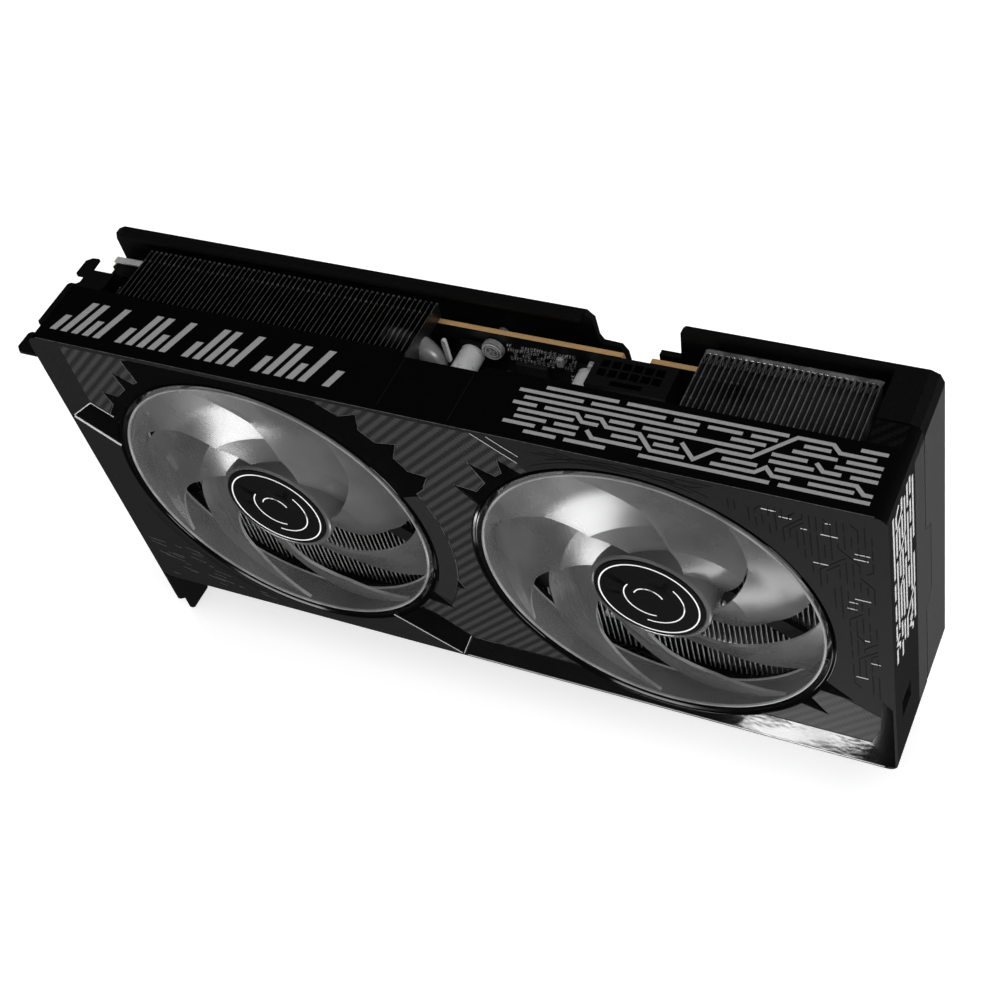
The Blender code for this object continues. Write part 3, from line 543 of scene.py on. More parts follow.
# (name, outline, fans whose rings bite into it)
WOVEN_INLAYS = (
    ("weave_left", ((10.9, 85.0), (17.2, 80.4), (34.0, 88.0), (50.0, 107.0), (10.9, 107.0)), (0,)),
    ("weave_middle", ((70.0, 107.0), (135.4, 107.2), (146.6, 99.2), (150.0, 96.0), (150.0, 12.2),
                      (114.6, 12.2), (104.7, 19.5), (100.0, 22.0), (100.0, 50.0)), (0, 1)),
    ("weave_corner", ((196.0, 12.2), (232.8, 12.2), (235.3, 19.1), (235.8, 25.0), (222.6, 32.0),
                      (205.0, 30.0)), (1,)))
# (width, points)
CHROME_LINES = (
    (1.0, ((1.4, 75.9), (13.6, 66.7))),
    (0.3, ((1.4, 76.4), (10.7, 84.0), (16.8, 79.8))),
    (0.16, ((113.7, 11.9), (108.7, 0.9))),
    (0.3, ((88.2, 12.6), (108.2, 1.0))),
    (0.3, ((110.0, 0.75), (236.0, 0.75))),
    (0.16, ((135.8, 107.2), (147.0, 99.4))),
    (0.16, ((140.2, 107.2), (147.8, 102.0))))


def grown(outline, by):
    """A convex outline pushed outwards from its middle."""
    middle = sum((Vector(p) for p in outline), Vector((0.0, 0.0))) / len(outline)
    return [tuple(Vector(p) + (Vector(p) - middle).normalized() * by) for p in outline]


def shroud():
    """Hollow shell with two fan wells, recesses for the inlays and a cable hole in its end."""
    bm = solid((round_rect(SHELL_X, LENGTH, 0.0, HEIGHT, CORNER_R), 1, FACE_Y, SHELL_BACK_Y))
    inside = round_rect(SHELL_X + END_WALL, LENGTH - END_WALL, SIDE_WALL, HEIGHT - SIDE_WALL,
                        CORNER_R - SIDE_WALL)
    bm = carve(bm, solid((inside, 1, FRONT_WALL, DEPTH)))
    bm = carve(bm, solid((rect(-CUT, OPEN_X, OPEN_Y, DEPTH), 2, -CUT, HEIGHT + CUT)))
    bm = carve(bm, solid((TOP_DIP, 2, HEIGHT - CUT, HEIGHT + CUT)))
    for x in FAN_X:
        bm = carve(bm, solid((circle(x, FAN_Z, WELL_R + SIDE_WALL), 1, 1.0, WELL_BACK_Y)), "UNION")
    for x in FAN_X:
        bm = carve(bm, solid((circle(x, FAN_Z, WELL_R + 0.25), 1, -CUT, DEPTH)))
    for fan in (0, 1):
        bm = carve(bm, solid((bezel_outline(fan, 0.1), 1, -CUT, RECESS_Y)))
    bm = carve(bm, solid((grown(LEFT_TRIM, 0.2), 1, -CUT, RECESS_Y),
                         (grown(CORNER_TRIM, 0.2), 1, -CUT, RECESS_Y)))
    bm = carve(bm, solid((grown(LOWER_TRIM, 0.2), 1, -CUT, RECESS_Y)))
    bm = carve(bm, solid((CABLE_HOLE, 0, LENGTH - CUT, LENGTH + CUT)))
    obj = piece("shroud_shell", bm, SHELL, stands_for=("fan_shroud",), bevel=0.22)
    # upward faces near the top take the darker copy: painted shade on the top
    obj.data.materials.append(TOP_PAINTED_SHADE[0])
    for face in obj.data.polygons:
        if face.normal.z > 0.6 and face.center.z > ORIGIN.z + (HEIGHT - TOP_BAND) * MM:
            face.material_index = 1


def well_liners():
    """Glossy black walls of the two fan wells, with a rounded lip at the front."""
    for side, x in zip(SIDES, FAN_X):
        bm = bmesh.new()
        turn(bm, x, FAN_Z, [(WELL_R + out, y) for out, y in LINER_PROFILE], FINE)
        piece("well_liner_" + side, bm, GLOSS)


def fan_bezels():
    """Glossy rings round the wells: sloping bands and four-sided pointed teeth."""
    for fan, side in enumerate(SIDES):
        bm = bmesh.new()
        rows = []
        for angle, radius, tip in bezel_edge(fan):
            x, z = polar(FAN_AT[fan], angle, radius)
            z = min(max(z, BEZEL_Z[0]), BEZEL_Z[1])
            inner = polar(FAN_AT[fan], angle, WELL_R + 0.3)
            crest = polar(FAN_AT[fan], angle, min(radius, 53.0) if tip else WELL_R + 0.8)
            wide = radius > LIP_R
            heights = (0.08, 0.05 if tip else 0.3, 0.55) if wide else (0.35, 0.3, 0.55)
            rows.append([bm.verts.new(place(x, heights[0], z)),
                         bm.verts.new(place(crest[0], heights[1], crest[1])),
                         bm.verts.new(place(inner[0], heights[2], inner[1])),
                         bm.verts.new(place(inner[0], TRIM_Y1, inner[1])),
                         bm.verts.new(place(x, TRIM_Y1, z))])
        for k in range(len(rows)):
            here, there = rows[k], rows[(k + 1) % len(rows)]
            for j in range(5):
                m = (j + 1) % 5
                bm.faces.new((here[j], here[m], there[m], there[j]))
        piece("bezel_ring_" + side, bm, GLOSS, stands_for=("fan_bezel_" + side,), sharp=6.0)


def bezel_edge_highlights():
    """Thin grey strips along the teeth and wide bands of the glossy rings, painted highlights of
    their edges.
    """
    bm = bmesh.new()
    for fan in (0, 1):
        line = []
        for angle, radius, _ in bezel_edge(fan):
            x, z = polar(FAN_AT[fan], angle, radius - 0.1)
            if radius > LIP_R + 0.5 and BEZEL_Z[0] < z < BEZEL_Z[1]:
                line.append((x, z))
                continue
            if len(line) > 1:
                ribbon(bm, line, 0.14, 1, 0.0, 0.1)
            line = []
    piece("bezel_edge_highlights", bm, EDGE_HIGHLIGHT_AND_DASH)


def crescent():
    """Matte half-moon that follows the left fan on its right side."""
    outer = [polar(FAN_AT[0], angle, MOON_R) for angle in range(-27, 25, 2)]
    inner = [polar(FAN_AT[0], angle, LIP_R + 0.6) for angle in range(23, -29, -2)]
    piece("crescent_panel", solid((outer + inner, 1, 0.02, 0.9)), SMOOTH, bevel=0.15)


def trims():
    """Glossy inlays, each bitten by the fan ring next to it, and the chrome lines along them."""
    left_ring, right_ring = bezel_outline(0, 0.15), circle(*FAN_AT[1], LIP_R + 0.4)
    for name, outline, ring, finish, stood_for in (
            ("left_trim", LEFT_TRIM, left_ring, GLOSS, "left_edge_trim"),
            ("corner_trim_gloss", CORNER_TRIM, left_ring, GLOSS, "corner_trim"),
            ("lower_trim", LOWER_TRIM, right_ring, GLOSS_WAVE, "lower_edge_trim")):
        bm = carve(solid((outline, 1, TRIM_Y0, TRIM_Y1)), solid((ring, 1, -CUT, CUT)))
        piece(name, bm, finish, stands_for=(stood_for,), bevel=0.2)
    bm = bmesh.new()
    for width, points in CHROME_LINES:
        ribbon(bm, points, width, 1, 0.0, 0.14)
    piece("chrome_lines", bm, CHROME)


def front_panels():
    """Thin woven inlays in the corners of the front, and a glossy one at its lower right."""
    for name, outline, rings in WOVEN_INLAYS:
        bm = solid((outline, 1, 0.0, INLAY_Y))
        for fan in rings:
            bm = carve(bm, solid((bezel_outline(fan, 0.25), 1, -CUT, CUT)))
        if name == "weave_middle":
            moon = [polar(FAN_AT[0], angle, MOON_R + 0.4) for angle in range(-30, 30, 2)]
            moon += [polar(FAN_AT[0], angle, 40.0) for angle in (28, -30)]
            bm = carve(bm, solid((moon, 1, -CUT, CUT)))
        piece(name, bm, WEAVE)
    piece("corner_inlay", solid((CORNER_INLAY, 1, -0.02, INLAY_Y)), GLOSS)


def top_and_end_panels():
    """Woven patch on the top, and the end's woven band and cover, which share a stepped edge."""
    # the top's woven patch takes the weave's darker copy: painted shade
    patch = solid((rect(228.6, 236.6, 20.9, 27.9), 2, HEIGHT - 0.03, HEIGHT + 0.02))
    piece("weave_top", patch, WEAVE_TOP_PAINTED_SHADE)
    # the end's band and cover take the lighter copies: painted light on the end
    low, high = 4.0, HEIGHT - 4.0
    step = [(28.3, 36.0), (32.8, 40.0), (32.8, 67.0), (28.3, 70.0)]
    band = [(20.6, low), (28.3, low)] + step + [(28.3, high), (20.6, high)]
    piece("weave_end", solid((band, 0, LENGTH - 0.03, LENGTH + 0.02)), WEAVE_END_PAINTED_LIGHT)
    cover = [(28.8, low), (DEPTH - 0.3, low), (DEPTH - 0.3, high), (28.8, high)]
    cover += [(y + 0.4, z) for y, z in reversed(step)]
    piece("end_cover", solid((cover, 0, LENGTH - 0.03, LENGTH + 0.02)), END_PANEL_PAINTED_LIGHT)


# -------- printed and etched lines
MAZE_WIDTH = 1.05
ETCHED_WIDTH = 0.26
DASH_Y = FACE_Y + 0.03


def routes(columns, rows, seed, longest, shortest=3, bend=0.25):
    """Lines that wander over a grid in one main direction and never cross or touch."""
    rng = random.Random(seed)
    taken = set()
    lines = []
    starts = [(i, j) for i in range(columns) for j in range(rows)]
    rng.shuffle(starts)
    for start in starts:
        if start in taken:
            continue
        line, slope, here = [start], 0, start
        used = {start}
        for _ in range(rng.randint(shortest, longest)):
            if rng.random() < bend:
                slope = rng.choice((-1, 0, 0, 1))
            tries = [slope, 0, -slope]
            for lean in tries:
                there = (here[0] + 1, here[1] + lean)
                middle = (here[0] + 0.5, here[1] + 0.5 * lean)
                inside = 0 <= there[0] < columns and 0 <= there[1] < rows
                if inside and there not in taken and not (lean and middle in taken):
                    line.append(there)
                    used |= {there, middle}
                    here, slope = there, lean
                    break
            else:
                break
        if len(line) > shortest:
            lines.append(corners(line))
            taken |= used
    return lines


def corners(line):
    """Only the points of a line where it bends, and its two ends."""
    kept = [line[0]]
    for before, point, after in zip(line, line[1:], line[2:]):
        if point[1] - before[1] != after[1] - point[1]:
            kept.append(point)
    return kept + [line[-1]]


def line_field(bm, lines, start, step, width, axis, low, high, swap=False, clip=None):
    """Lay a grid's lines on a face; swap lets them run along the second axis instead."""
    for line in lines:
        points = [(start[0] + step[0] * a, start[1] + step[1] * b)
                  for a, b in (spot[::-1] if swap else spot for spot in line)]
        if clip is None or all(clip(*point) for point in points):
            ribbon(bm, points, width, axis, low, high)


def top_marks():
    """Plain slanted bars at the bracket end of the top, a maze of lines at the far end."""
    bm = bmesh.new()
    lean, low, high, stroke, pitch = 0.30, 4.4, 16.0, 2.1, 3.6
    for k in range(25):
        if k % 6 == 5:
            continue
        left = 5.4 + pitch * k
        top = high if k % 3 else (low + high) / 2
        shift = lean * (top - low)
        prism(bm, [(left, low), (left + stroke, low), (left + stroke + shift, top),
                   (left + shift, top)], 2, HEIGHT - SUNK, HEIGHT + PROUD)
    piece("top_bars", bm, PRINT)
    bm = bmesh.new()
    lines = routes(44, 8, seed=11, longest=26, bend=0.14)
    line_field(bm, lines, (142.5, 3.6), (2.14, 2.07), MAZE_WIDTH, 2, HEIGHT - SUNK,
               HEIGHT + PROUD)
    piece("top_line_maze", bm, PRINT)
    bm = bmesh.new()
    for x in (109.0, 129.0):
        ribbon(bm, ((x, 2.0), (x, 18.6)), 0.16, 2, HEIGHT - 0.03, HEIGHT + 0.02)
    piece("top_seams", bm, SHELL)
    # grey strip along the top's front edge: painted highlight of its bevel
    bm = bmesh.new()
    ribbon(bm, ((CORNER_R, 0.28), (LENGTH - CORNER_R, 0.28)), 0.24, 2, HEIGHT - 0.1, HEIGHT + 0.02)
    piece("front_edge_highlight", bm, EDGE_HIGHLIGHT_AND_DASH)


def end_marks():
    """A smaller maze on the far end."""
    bm = bmesh.new()
    lines = routes(30, 8, seed=5, longest=16, bend=0.2)
    line_field(bm, lines, (3.4, 45.0), (2.15, 2.05), MAZE_WIDTH, 0, LENGTH - SUNK, LENGTH + PROUD,
               swap=True)
    piece("end_line_maze", bm, BRIGHT)


def front_etching():
    """Fine dark lines and short bright dashes on the plain parts of the front."""
    def free(x, z):
        right_of_slant = 0.9 * x + z > 245.0
        off_ring = math.dist((x, z), FAN_AT[1]) > LIP_R + 3.0
        return off_ring and right_of_slant and x < 236.5

    bm = bmesh.new()
    lines = routes(44, 50, seed=21, longest=9, shortest=2)
    line_field(bm, lines, (158.0, 34.0), (1.62, 1.62), ETCHED_WIDTH, 1, 0.0, INLAY_Y, swap=True,
               clip=lambda x, z: free(x, z) and z < 106.0 and x > 190.0)
    lines = routes(22, 3, seed=8, longest=9, bend=0.2)
    line_field(bm, lines, (152.0, 104.9), (2.2, 0.9), 0.24, 1, 0.0, INLAY_Y)
    for fan, radius, first, last in ((1, 52.0, 70, 118), (1, 53.2, 66, 112), (0, 51.6, 200, 250),
                                     (0, 52.8, 196, 246)):
        sweep = (last - first) / 24
        arc = [polar(FAN_AT[fan], first + sweep * k, radius) for k in range(25)]
        ribbon(bm, arc, 0.2, 1, 0.0, INLAY_Y)
    piece("etched_lines", bm, GROOVE)
    bm = bmesh.new()
    rng = random.Random(4)
    for _ in range(34):
        x, z = rng.uniform(200.0, 234.0), rng.uniform(36.0, 105.0)
        size = rng.uniform(1.2, 4.2)
        if free(x, z) and free(x + size, z):
            ribbon(bm, ((x, z), (x + size, z)), 0.24, 1, 0.0, DASH_Y)
    piece("bright_dashes", bm, BRIGHT)
    bm = bmesh.new()
    for _ in range(46):
        x, z = rng.uniform(3.0, 44.0), rng.uniform(2.0, 22.0)
        size = rng.uniform(1.5, 6.0)
        if math.dist((x + size, z), FAN_AT[0]) > LIP_R + 1.5 and z > 0.1 * x:
            ribbon(bm, ((x, z), (x + size, z - 0.25 * size)), 0.14, 1, 0.0, DASH_Y)
    piece("faint_dashes", bm, EDGE_HIGHLIGHT_AND_DASH)


# -------- fans
# (offset from the radius, y)
HUB_PROFILE = ((-1.5, 0.55), (-1.1, 0.3), (-0.5, 0.35), (-0.1, 0.7), (0.0, 1.4), (0.0, 11.2),
               (-1.4, 11.2), (-1.4, 1.6))
RING_PROFILE = ((-1.0, 0.8), (-0.1, 0.8), (-0.1, 9.2), (-1.0, 9.2))


def between(points, t):
    """Value at t on a line of straight stretches through (t, value) points."""
    for (t0, v0), (t1, v1) in zip(points, points[1:]):
        if t <= t1 + 1e-9:
            return v0 + (v1 - v0) * (t - t0) / (t1 - t0)
    return points[-1][1]


def blade_point(x, start, s, c):
    """Middle surface of a blade: s from hub to ring, c from leading to trailing edge."""
    inner, outer = HUB_R - 0.4, RING_R - 0.9
    radius = inner + s * (outer - inner)
    angle = start + between(BLADE_LEAD, s) - between(BLADE_CHORD, s) * c
    y = BLADE_FRONT_Y + (BLADE_DEPTH - BLADE_DEPTH_LOSS * s) * c + between(BLADE_RISE, s)
    a, b = polar((x, FAN_Z), angle, radius)
    return Vector((a, y, b))


def blade(bm, x, start):
    """One folded blade; its cut edges take the second material, a lighter resin painted as edge
    highlights.
    """
    rows, chord = BLADE_ROWS, BLADE_COLUMNS
    layers = []
    for offset in (-BLADE_HALF_SHEET, BLADE_HALF_SHEET):
        layers.append([[bm.verts.new(place(*(blade_point(x, start, i / rows, j / chord)
                                             + Vector((0.0, offset, 0.0)))))
                        for j in range(chord + 1)] for i in range(rows + 1)])
    front, back = layers
    for i in range(rows):
        for j in range(chord):
            bm.faces.new((front[i][j], front[i + 1][j], front[i + 1][j + 1], front[i][j + 1]))
            bm.faces.new((back[i][j], back[i][j + 1], back[i + 1][j + 1], back[i + 1][j]))
    rim = [(i, 0) for i in range(rows)] + [(rows, j) for j in range(chord)]
    rim += [(i, chord) for i in range(rows, 0, -1)] + [(0, j) for j in range(chord, 0, -1)]
    for (i, j), (m, n) in zip(rim, rim[1:] + rim[:1]):
        bm.faces.new((front[i][j], back[i][j], back[m][n], front[m][n])).material_index = 1


def fans():
    """Each rotor: folded blades, a clear ring with rims painted brighter as highlights, a hub and
    its label.
    """
    for side, x, start in zip(SIDES, FAN_X, BLADE_START):
        body, rotor = "fan_" + side, ("impeller_" + side,)
        bm = bmesh.new()
        for k in range(BLADES):
            blade(bm, x, start + 360.0 * k / BLADES)
        blades = piece("rotor_blades_" + side, bm, BLADE, body, rotor, sharp=8.0)
        blades.data.materials.append(RESIN_EDGE_PAINTED_HIGHLIGHT[0])
        bm = bmesh.new()
        turn(bm, x, FAN_Z, [(RING_R + out, y) for out, y in RING_PROFILE], FINE)
        ring = piece("rotor_ring_" + side, bm, CLEAR, body, rotor)
        bm = bmesh.new()
        for low, high in ((0.3, 0.8), (9.2, 9.6)):
            turn(bm, x, FAN_Z, [(RING_R - 0.75, low + 0.2), (RING_R - 0.6, low),
                                (RING_R - 0.25, low), (RING_R - 0.1, low + 0.2),
                                (RING_R - 0.1, high), (RING_R - 0.75, high)], FINE)
        rims = piece("rotor_ring_rims_" + side, bm, RESIN_EDGE_PAINTED_HIGHLIGHT, body, rotor)
        bm = bmesh.new()
        turn(bm, x, FAN_Z, [(HUB_R + out, y) for out, y in HUB_PROFILE])
        piece("rotor_hub_" + side, bm, BLADE, body, rotor)
        for clear in (blades, ring, rims):
            clear.visible_shadow = False
        hub_label(side, x, body)


def hub_label(side, x, body):
    """Dark disc with a thin circle and three arcs."""
    core = 8.0
    bm = bmesh.new()
    turn(bm, x, FAN_Z, [(15.0, 0.12), (15.35, 0.2), (15.4, 0.5), (15.4, 1.5), (core, 1.5),
                        (core, 0.12)])
    prism(bm, circle(x, FAN_Z, core), 1, 0.12, 1.5)
    piece("hub_disc_" + side, bm, LABEL, body, ("hub_cap_" + side,))
    bm = bmesh.new()
    turn(bm, x, FAN_Z, [(14.1, 0.05), (14.1, 0.16), (13.72, 0.16), (13.72, 0.05)])
    for radius, first in ((4.2, 20.0), (7.0, 140.0), (9.8, 260.0)):
        arc = [polar((x, FAN_Z), first + 10.0 * k, radius) for k in range(15)]
        ribbon(bm, arc, 0.34, 1, 0.05, 0.16)
    piece("hub_emblem_" + side, bm, MARK, body)


# -------- heat sink
LEFT_FINS, MIDDLE_FINS, RIGHT_FINS = 57, 45, 29


def fin_pitch(low, high, count):
    """Distance between neighbours of a number of fins that fill a box along x."""
    return (high.x - low.x - 0.5) / (count - 1)


def fin_plates(name, node_name, count, outline, tab_rows=(), finish=None):
    """Separate sheet fins of one (y, z) outline, with folded front edges painted near white as
    highlights, and tabs on top.
    """
    low, high = card_box(node_name)
    top = high.z
    pitch = fin_pitch(low, high, count)
    plates, edges, tops, tabs = bmesh.new(), bmesh.new(), bmesh.new(), bmesh.new()
    back = max(y for y, _ in outline)
    for k in range(count):
        x = low.x + pitch * k
        prism(plates, outline, 0, x, x + 0.26)
        prism(tops, rect(x, x + 0.15, top - 0.3, top + 0.02), 1, min(20.9, back - 1.0), back)
        prism(edges, rect(x - 0.02, x + 0.36, low.z, top - 0.4), 1, low.y, low.y + 0.25)
        for y in tab_rows:
            prism(tabs, rect(x - 0.05, x + 0.45, y - 0.18, y + 0.18), 2, top - 0.5, top + 0.1)
    piece(name, plates, finish or FIN, stands_for=(node_name,))
    piece(name + "_front_edges", edges, FIN_EDGE_PAINTED_HIGHLIGHT)
    piece(name + "_top_edges", tops, FIN_TOP)
    if tab_rows:
        piece(name + "_tabs", tabs, FIN_TOP)


def fin_stacks():
    """The three stacks of fins; the left one is cut back round the board."""
    low, high = card_box("fin_stack_left")
    step_y, recess_y = 33.0, 28.0
    recess_z0, recess_z1, board_z = 26.0, 82.0, 101.7
    outline = [(low.y, low.z), (step_y, low.z), (step_y, recess_z0), (recess_y, recess_z0),
               (recess_y, recess_z1), (step_y, recess_z1), (step_y, board_z), (high.y, board_z),
               (high.y, high.z), (low.y, high.z)]
    fin_plates("left_fins", "fin_stack_left", LEFT_FINS, outline, (35.9, 39.6))
    low, high = card_box("fin_stack_middle")
    fin_plates("middle_fins", "fin_stack_middle", MIDDLE_FINS, rect(low.y, high.y, low.z, high.z))
    low, high = card_box("fin_stack_right")
    # the right stack's plates take the painted reflection patches
    fin_plates("right_fins", "fin_stack_right", RIGHT_FINS, rect(low.y, 40.2, low.z, high.z),
               (21.4, 24.8, 32.0, 36.5), FIN_PAINTED_SHEEN)
    front_pipes()
    right_fin_trim(low, high)


def front_pipes():
    """Lengths of pipe at the fins' front edges, seen through the fans."""
    y = 18.6
    bm = bmesh.new()
    for z, first, last in ((15.0, 24.0, 106.0), (15.0, 150.0, 212.0), (33.0, 184.0, 218.0)):
        tube(bm, [(first, y, z), ((first + last) / 2, y, z), (last, y, z)], 2.4, 24)
    piece("front_pipes", bm, PIPE)


def right_fin_trim(low, high):
    """Folded edge strip and end bar along the back of the right stack's top."""
    bm = bmesh.new()
    pitch = fin_pitch(low, high, RIGHT_FINS)
    for k in range(RIGHT_FINS - 1):
        x = low.x + pitch * k
        ribbon(bm, ((x + 0.2, 40.0), (x + pitch / 2, 36.8), (x + pitch, 40.0)), 0.16, 2,
               HEIGHT - 2.1, HEIGHT - 1.7)
    piece("fin_zigzag", bm, FIN_BAR)
    bm = bmesh.new()
    tube(bm, [(low.x + 0.2, 40.7, 105.7), (low.x + 0.6, 40.7, 105.9), (high.x - 0.6, 40.7, 105.9),
              (high.x - 0.2, 40.7, 105.7)], 0.8, 16)
    piece("fin_end_bar", bm, FIN_BAR)


def pipe_bend():
    """Thick heat pipe that turns downwards beside the left stack."""
    middle_x, y, middle_z, turn_r = 102.0, 29.0, 94.8, 7.0
    path = [(98.0, y, middle_z + turn_r)]
    for k in range(17):
        x, z = polar((middle_x, middle_z), 90.0 - 90.0 * k / 16, turn_r)
        path.append((x, y, z))
    path.append((middle_x + turn_r, y, 81.5))
    bm = bmesh.new()
    tube(bm, path, 3.4, 28)
    piece("heat_pipe_bend", bm, BEND)


# -------- board parts
def small_part(bodies, ends, x, z, wide, tall, board_y, turned):
    """A chip resistor or capacitor: dark body and two bright ends."""
    end_middle, end_half, lap = 0.36, 0.14, 0.04   # two shares of its length, and mm
    a, b = (tall, wide) if turned else (wide, tall)
    prism(bodies, rect(x - a / 2, x + a / 2, z - b / 2, z + b / 2), 1, board_y - 0.55, board_y)
    for sign in (-1, 1):
        if turned:
            middle = z + sign * b * end_middle
            outline = rect(x - a / 2 - lap, x + a / 2 + lap, middle - b * end_half,
                           middle + b * end_half)
        else:
            middle = x + sign * a * end_middle
            outline = rect(middle - a * end_half, middle + a * end_half, z - b / 2 - lap,
                           z + b / 2 + lap)
        prism(ends, outline, 1, board_y - 0.6, board_y)


def board_details():
    """Small parts on the board's front, and what stands beside them."""
    board_y = card_box("circuit_board")[0].y - 0.02
    rng = random.Random(9)
    bodies, ends = bmesh.new(), bmesh.new()
    for i in range(15):
        for j in range(4):
            if rng.random() < 0.72:
                small_part(bodies, ends, 127.4 + 1.32 * i, 93.2 + 1.5 * j + rng.uniform(-0.2, 0.2),
                           1.0, 0.55, board_y, rng.random() < 0.5)
    for k in range(4):
        small_part(bodies, ends, 144.4 + 1.3 * k, 90.0, 1.8, 0.8, board_y, True)
    for i in range(5):
        for j in range(9):
            x, z = 157.0 + 3.6 * i, 12.0 + 7.5 * j
            small_part(bodies, ends, x, z, 1.6, 0.8, board_y, (i + j) % 2 == 0)
    piece("smd_bodies", bodies, CHIP)
    piece("smd_ends", ends, SOLDER)
    bm = bmesh.new()
    for x in (142.2, 151.0):
        prism(bm, round_rect(x - 0.9, x + 0.9, 94.6, 97.4, 0.3, 2), 1, board_y - 1.8, board_y)
    piece("small_blocks", bm, SOLDER, bevel=0.15)
    tag = round_rect(112.1, 113.4, 95.2, 103.4, 0.6, 5)
    piece("silver_tag", solid((tag, 1, 30.2, 31.4)), CAN, bevel=0.25)
    clip = rect(2.0, 10.9, 37.8, 39.9)
    piece("board_clip", solid((clip, 2, 100.7, 101.3)), CAN, bevel=0.15)
    bm = bmesh.new()
    turn(bm, 3.6, 94.6, [(1.2, 37.6), (2.4, 37.6), (2.4, 37.95), (1.45, 38.1), (1.45, 39.4),
                         (1.2, 39.4)], 32)
    piece("board_eyelet", bm, PLUG)
    screw_rings()
    gold_fingers()


def screw_rings():
    """Ridges and a cross on the head of the board screw that shows at the top."""
    low, high = card_box("board_screw_1")
    x, z = (low.x + high.x) / 2, (low.z + high.z) / 2
    bm = bmesh.new()
    for radius, width in ((2.75, 0.35), (1.9, 0.3)):
        turn(bm, x, z, [(radius, 35.7), (radius, 35.95), (radius - width, 35.95),
                        (radius - width, 35.7)], 40)
    for angle in (20.0, 110.0):
        ribbon(bm, (polar((x, z), angle, 1.2), polar((x, z), angle + 180.0, 1.2)),
               0.4, 1, 35.72, 35.86)
    piece("screw_rings", bm, CAN)


def gold_fingers():
    """Contacts on both sides of the board's lower edge, one a millimetre."""
    low, high = card_box("circuit_board")
    bm = bmesh.new()
    for first, last in ((46.0, 56.0), (59.0, 129.4)):
        for k in range(int(last - first)):
            x = first + 0.15 + k
            for y in (low.y, high.y):
                prism(bm, rect(x, x + 0.7, low.z + 1.0, low.z + 5.2), 1, y - 0.03, y + 0.03)
    piece("edge_contacts", bm, GOLD)


def cans():
    """Two can capacitors with a groove near the foot, on chamfered seats."""
    for k, name in enumerate(("can_capacitor_1", "can_capacitor_2")):
        low, high = card_box(name)
        middle = (low + high) / 2
        radius = (high.x - low.x) / 2
        groove = radius - 0.35
        bm = bmesh.new()
        turn(bm, middle.x, middle.z, [
            (0.6, low.y + 0.25), (radius * 0.72, low.y + 0.2), (radius * 0.8, low.y),
            (radius - 0.3, low.y), (radius, low.y + 0.35), (radius, 35.2), (groove, 35.6),
            (groove, 36.0), (radius, 36.4), (radius, high.y), (0.6, high.y)], 48, closed=False)
        piece("can_shell_%d" % (k + 1), bm, CAN, stands_for=(name,))
        half = radius + 0.5
        short = half - 1.0
        seat = ((-half, -half), (half, -half), (half, short), (short, half), (-short, half),
                (-half, short))
        seat = [(middle.x + a, middle.z + b) for a, b in seat]
        bm = solid((seat, 1, high.y - 1.2, high.y - 0.02))
        piece("can_foot_%d" % (k + 1), bm, PLUG, bevel=0.1)


# -------- scene, in metres
CARD_MIDDLE = (0.0, 0.0, 0.07)
# (name, location, target, width, height, power)
LIGHTS = (
    ("front_key", (-0.42, -1.45, 0.10), CARD_MIDDLE, 0.75, 0.6, 15.0),
    ("floor_bounce", (0.25, -0.32, -0.75), CARD_MIDDLE, 0.5, 0.2, 1.0),
    ("under_strip", (0.035, -0.17, -0.23), (0.10, -0.023, 0.03), 0.06, 0.014, 0.03),
    ("right_side", (1.4, -0.25, 0.25), CARD_MIDDLE, 0.8, 0.6, 19.0),
    ("back_fill", (-0.25, 1.5, -0.02), CARD_MIDDLE, 1.0, 0.3, 6.0))

FLOOR_HALF = 4.0
FLOOR_GLOW = 0.62
WORLD_FOR_CARD, WORLD_FOR_CAMERA = 0.02, 0.86

CAMERA_AT = (0.2002, -0.2475, 0.4313)
CAMERA_TURN = (39.303, 9.741, 23.251)
LENS = 61.6
SENSOR = 36.0
SHIFT_X, SHIFT_Y = -0.0649, 0.0108


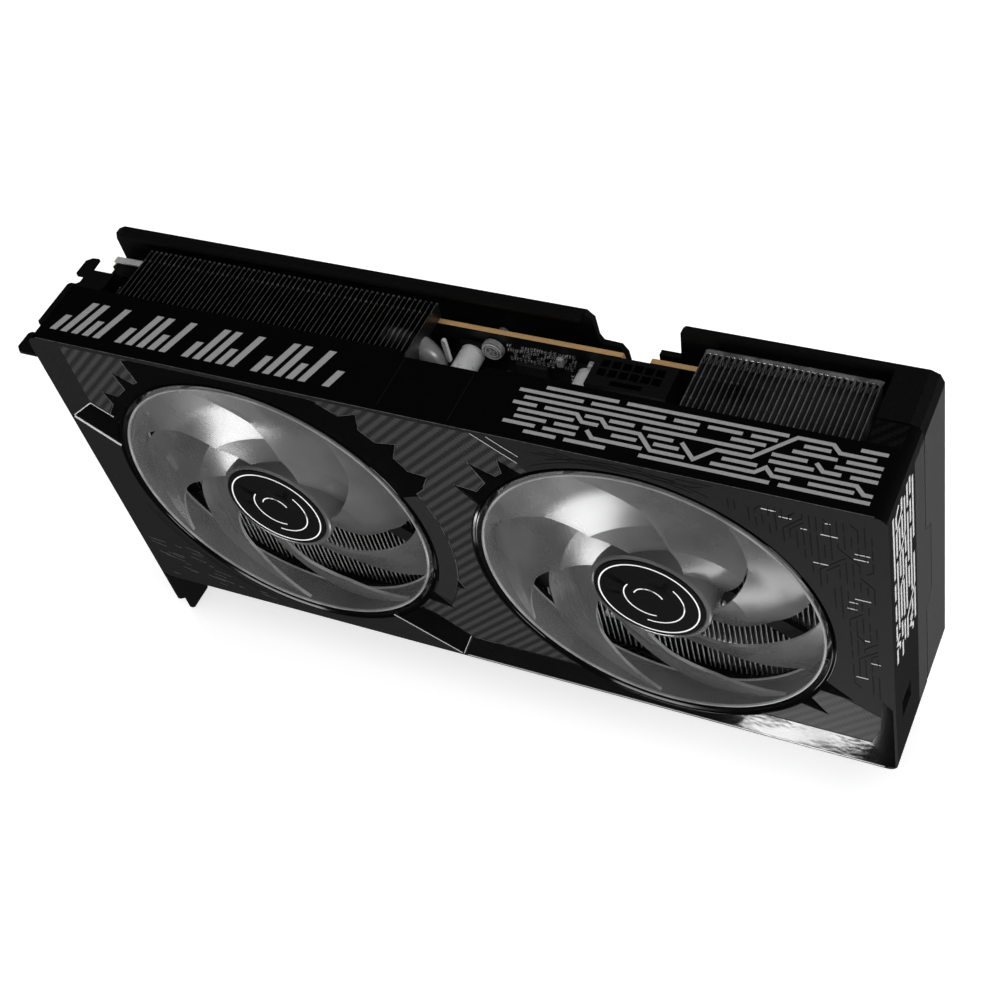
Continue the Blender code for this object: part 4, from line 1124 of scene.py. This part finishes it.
def softbox(name, location, target, width, height, power):
    """Rectangular light that faces a target."""
    light = bpy.data.lights.new(name, "AREA")
    light.shape, light.size, light.size_y, light.energy = "RECTANGLE", width, height, power
    obj = add_object(name, light)
    obj.location = location
    obj.rotation_euler = (Vector(target) - Vector(location)).to_track_quat("-Z", "Y").to_euler()
    return obj


def studio():
    """Floor, lights and a world that is pale for the camera and dark for the card."""
    world = bpy.data.worlds.new("studio")
    world.use_nodes = True
    tree = world.node_tree
    tone = node(tree, "Mix", data_type="RGBA")
    tone.inputs[6].default_value = grey(WORLD_FOR_CARD)
    tone.inputs[7].default_value = grey(WORLD_FOR_CAMERA)
    tree.links.new(node(tree, "LightPath").outputs["Is Camera Ray"], tone.inputs[0])
    tree.links.new(tone.outputs[2], tree.nodes["Background"].inputs["Color"])
    bpy.context.scene.world = world
    bpy.context.scene.view_settings.view_transform = "Standard"
    bm = bmesh.new()
    bmesh.ops.create_grid(bm, x_segments=1, y_segments=1, size=FLOOR_HALF)
    mesh = bpy.data.meshes.new("floor")
    bm.to_mesh(mesh)
    bm.free()
    floor = add_object("floor", mesh)
    pale = surface("floor_pale", (0.80, 0.82), (0.8, 0.9), 30.0, 0.0, Emission_Color=(1, 1, 1, 1),
                   Emission_Strength=FLOOR_GLOW, specular=0.0)
    mesh.materials.append(pale)
    floor.visible_glossy = False
    floor.visible_shadow = False
    for light in LIGHTS:
        softbox(*light)
    overhead = softbox("overhead", (0.0, 0.0, 1.6), (0.0, 0.0, 0.0), 2.4, 2.4, 22.0)
    overhead.visible_glossy = False


def camera():
    """The view of the photo."""
    lens = bpy.data.cameras.new("photo_view")
    lens.sensor_width, lens.lens = SENSOR, LENS
    lens.shift_x, lens.shift_y = SHIFT_X, SHIFT_Y
    lens.clip_start = 0.01
    obj = add_object("photo_view", lens)
    obj.location = CAMERA_AT
    obj.rotation_euler = Euler([math.radians(a) for a in CAMERA_TURN], "XYZ")
    bpy.context.scene.camera = obj


camera()
studio()
paint_cad_nodes()
shroud()
well_liners()
fan_bezels()
bezel_edge_highlights()
crescent()
trims()
front_panels()
top_and_end_panels()
top_marks()
end_marks()
front_etching()
fans()
fin_stacks()
pipe_bend()
board_details()
cans()
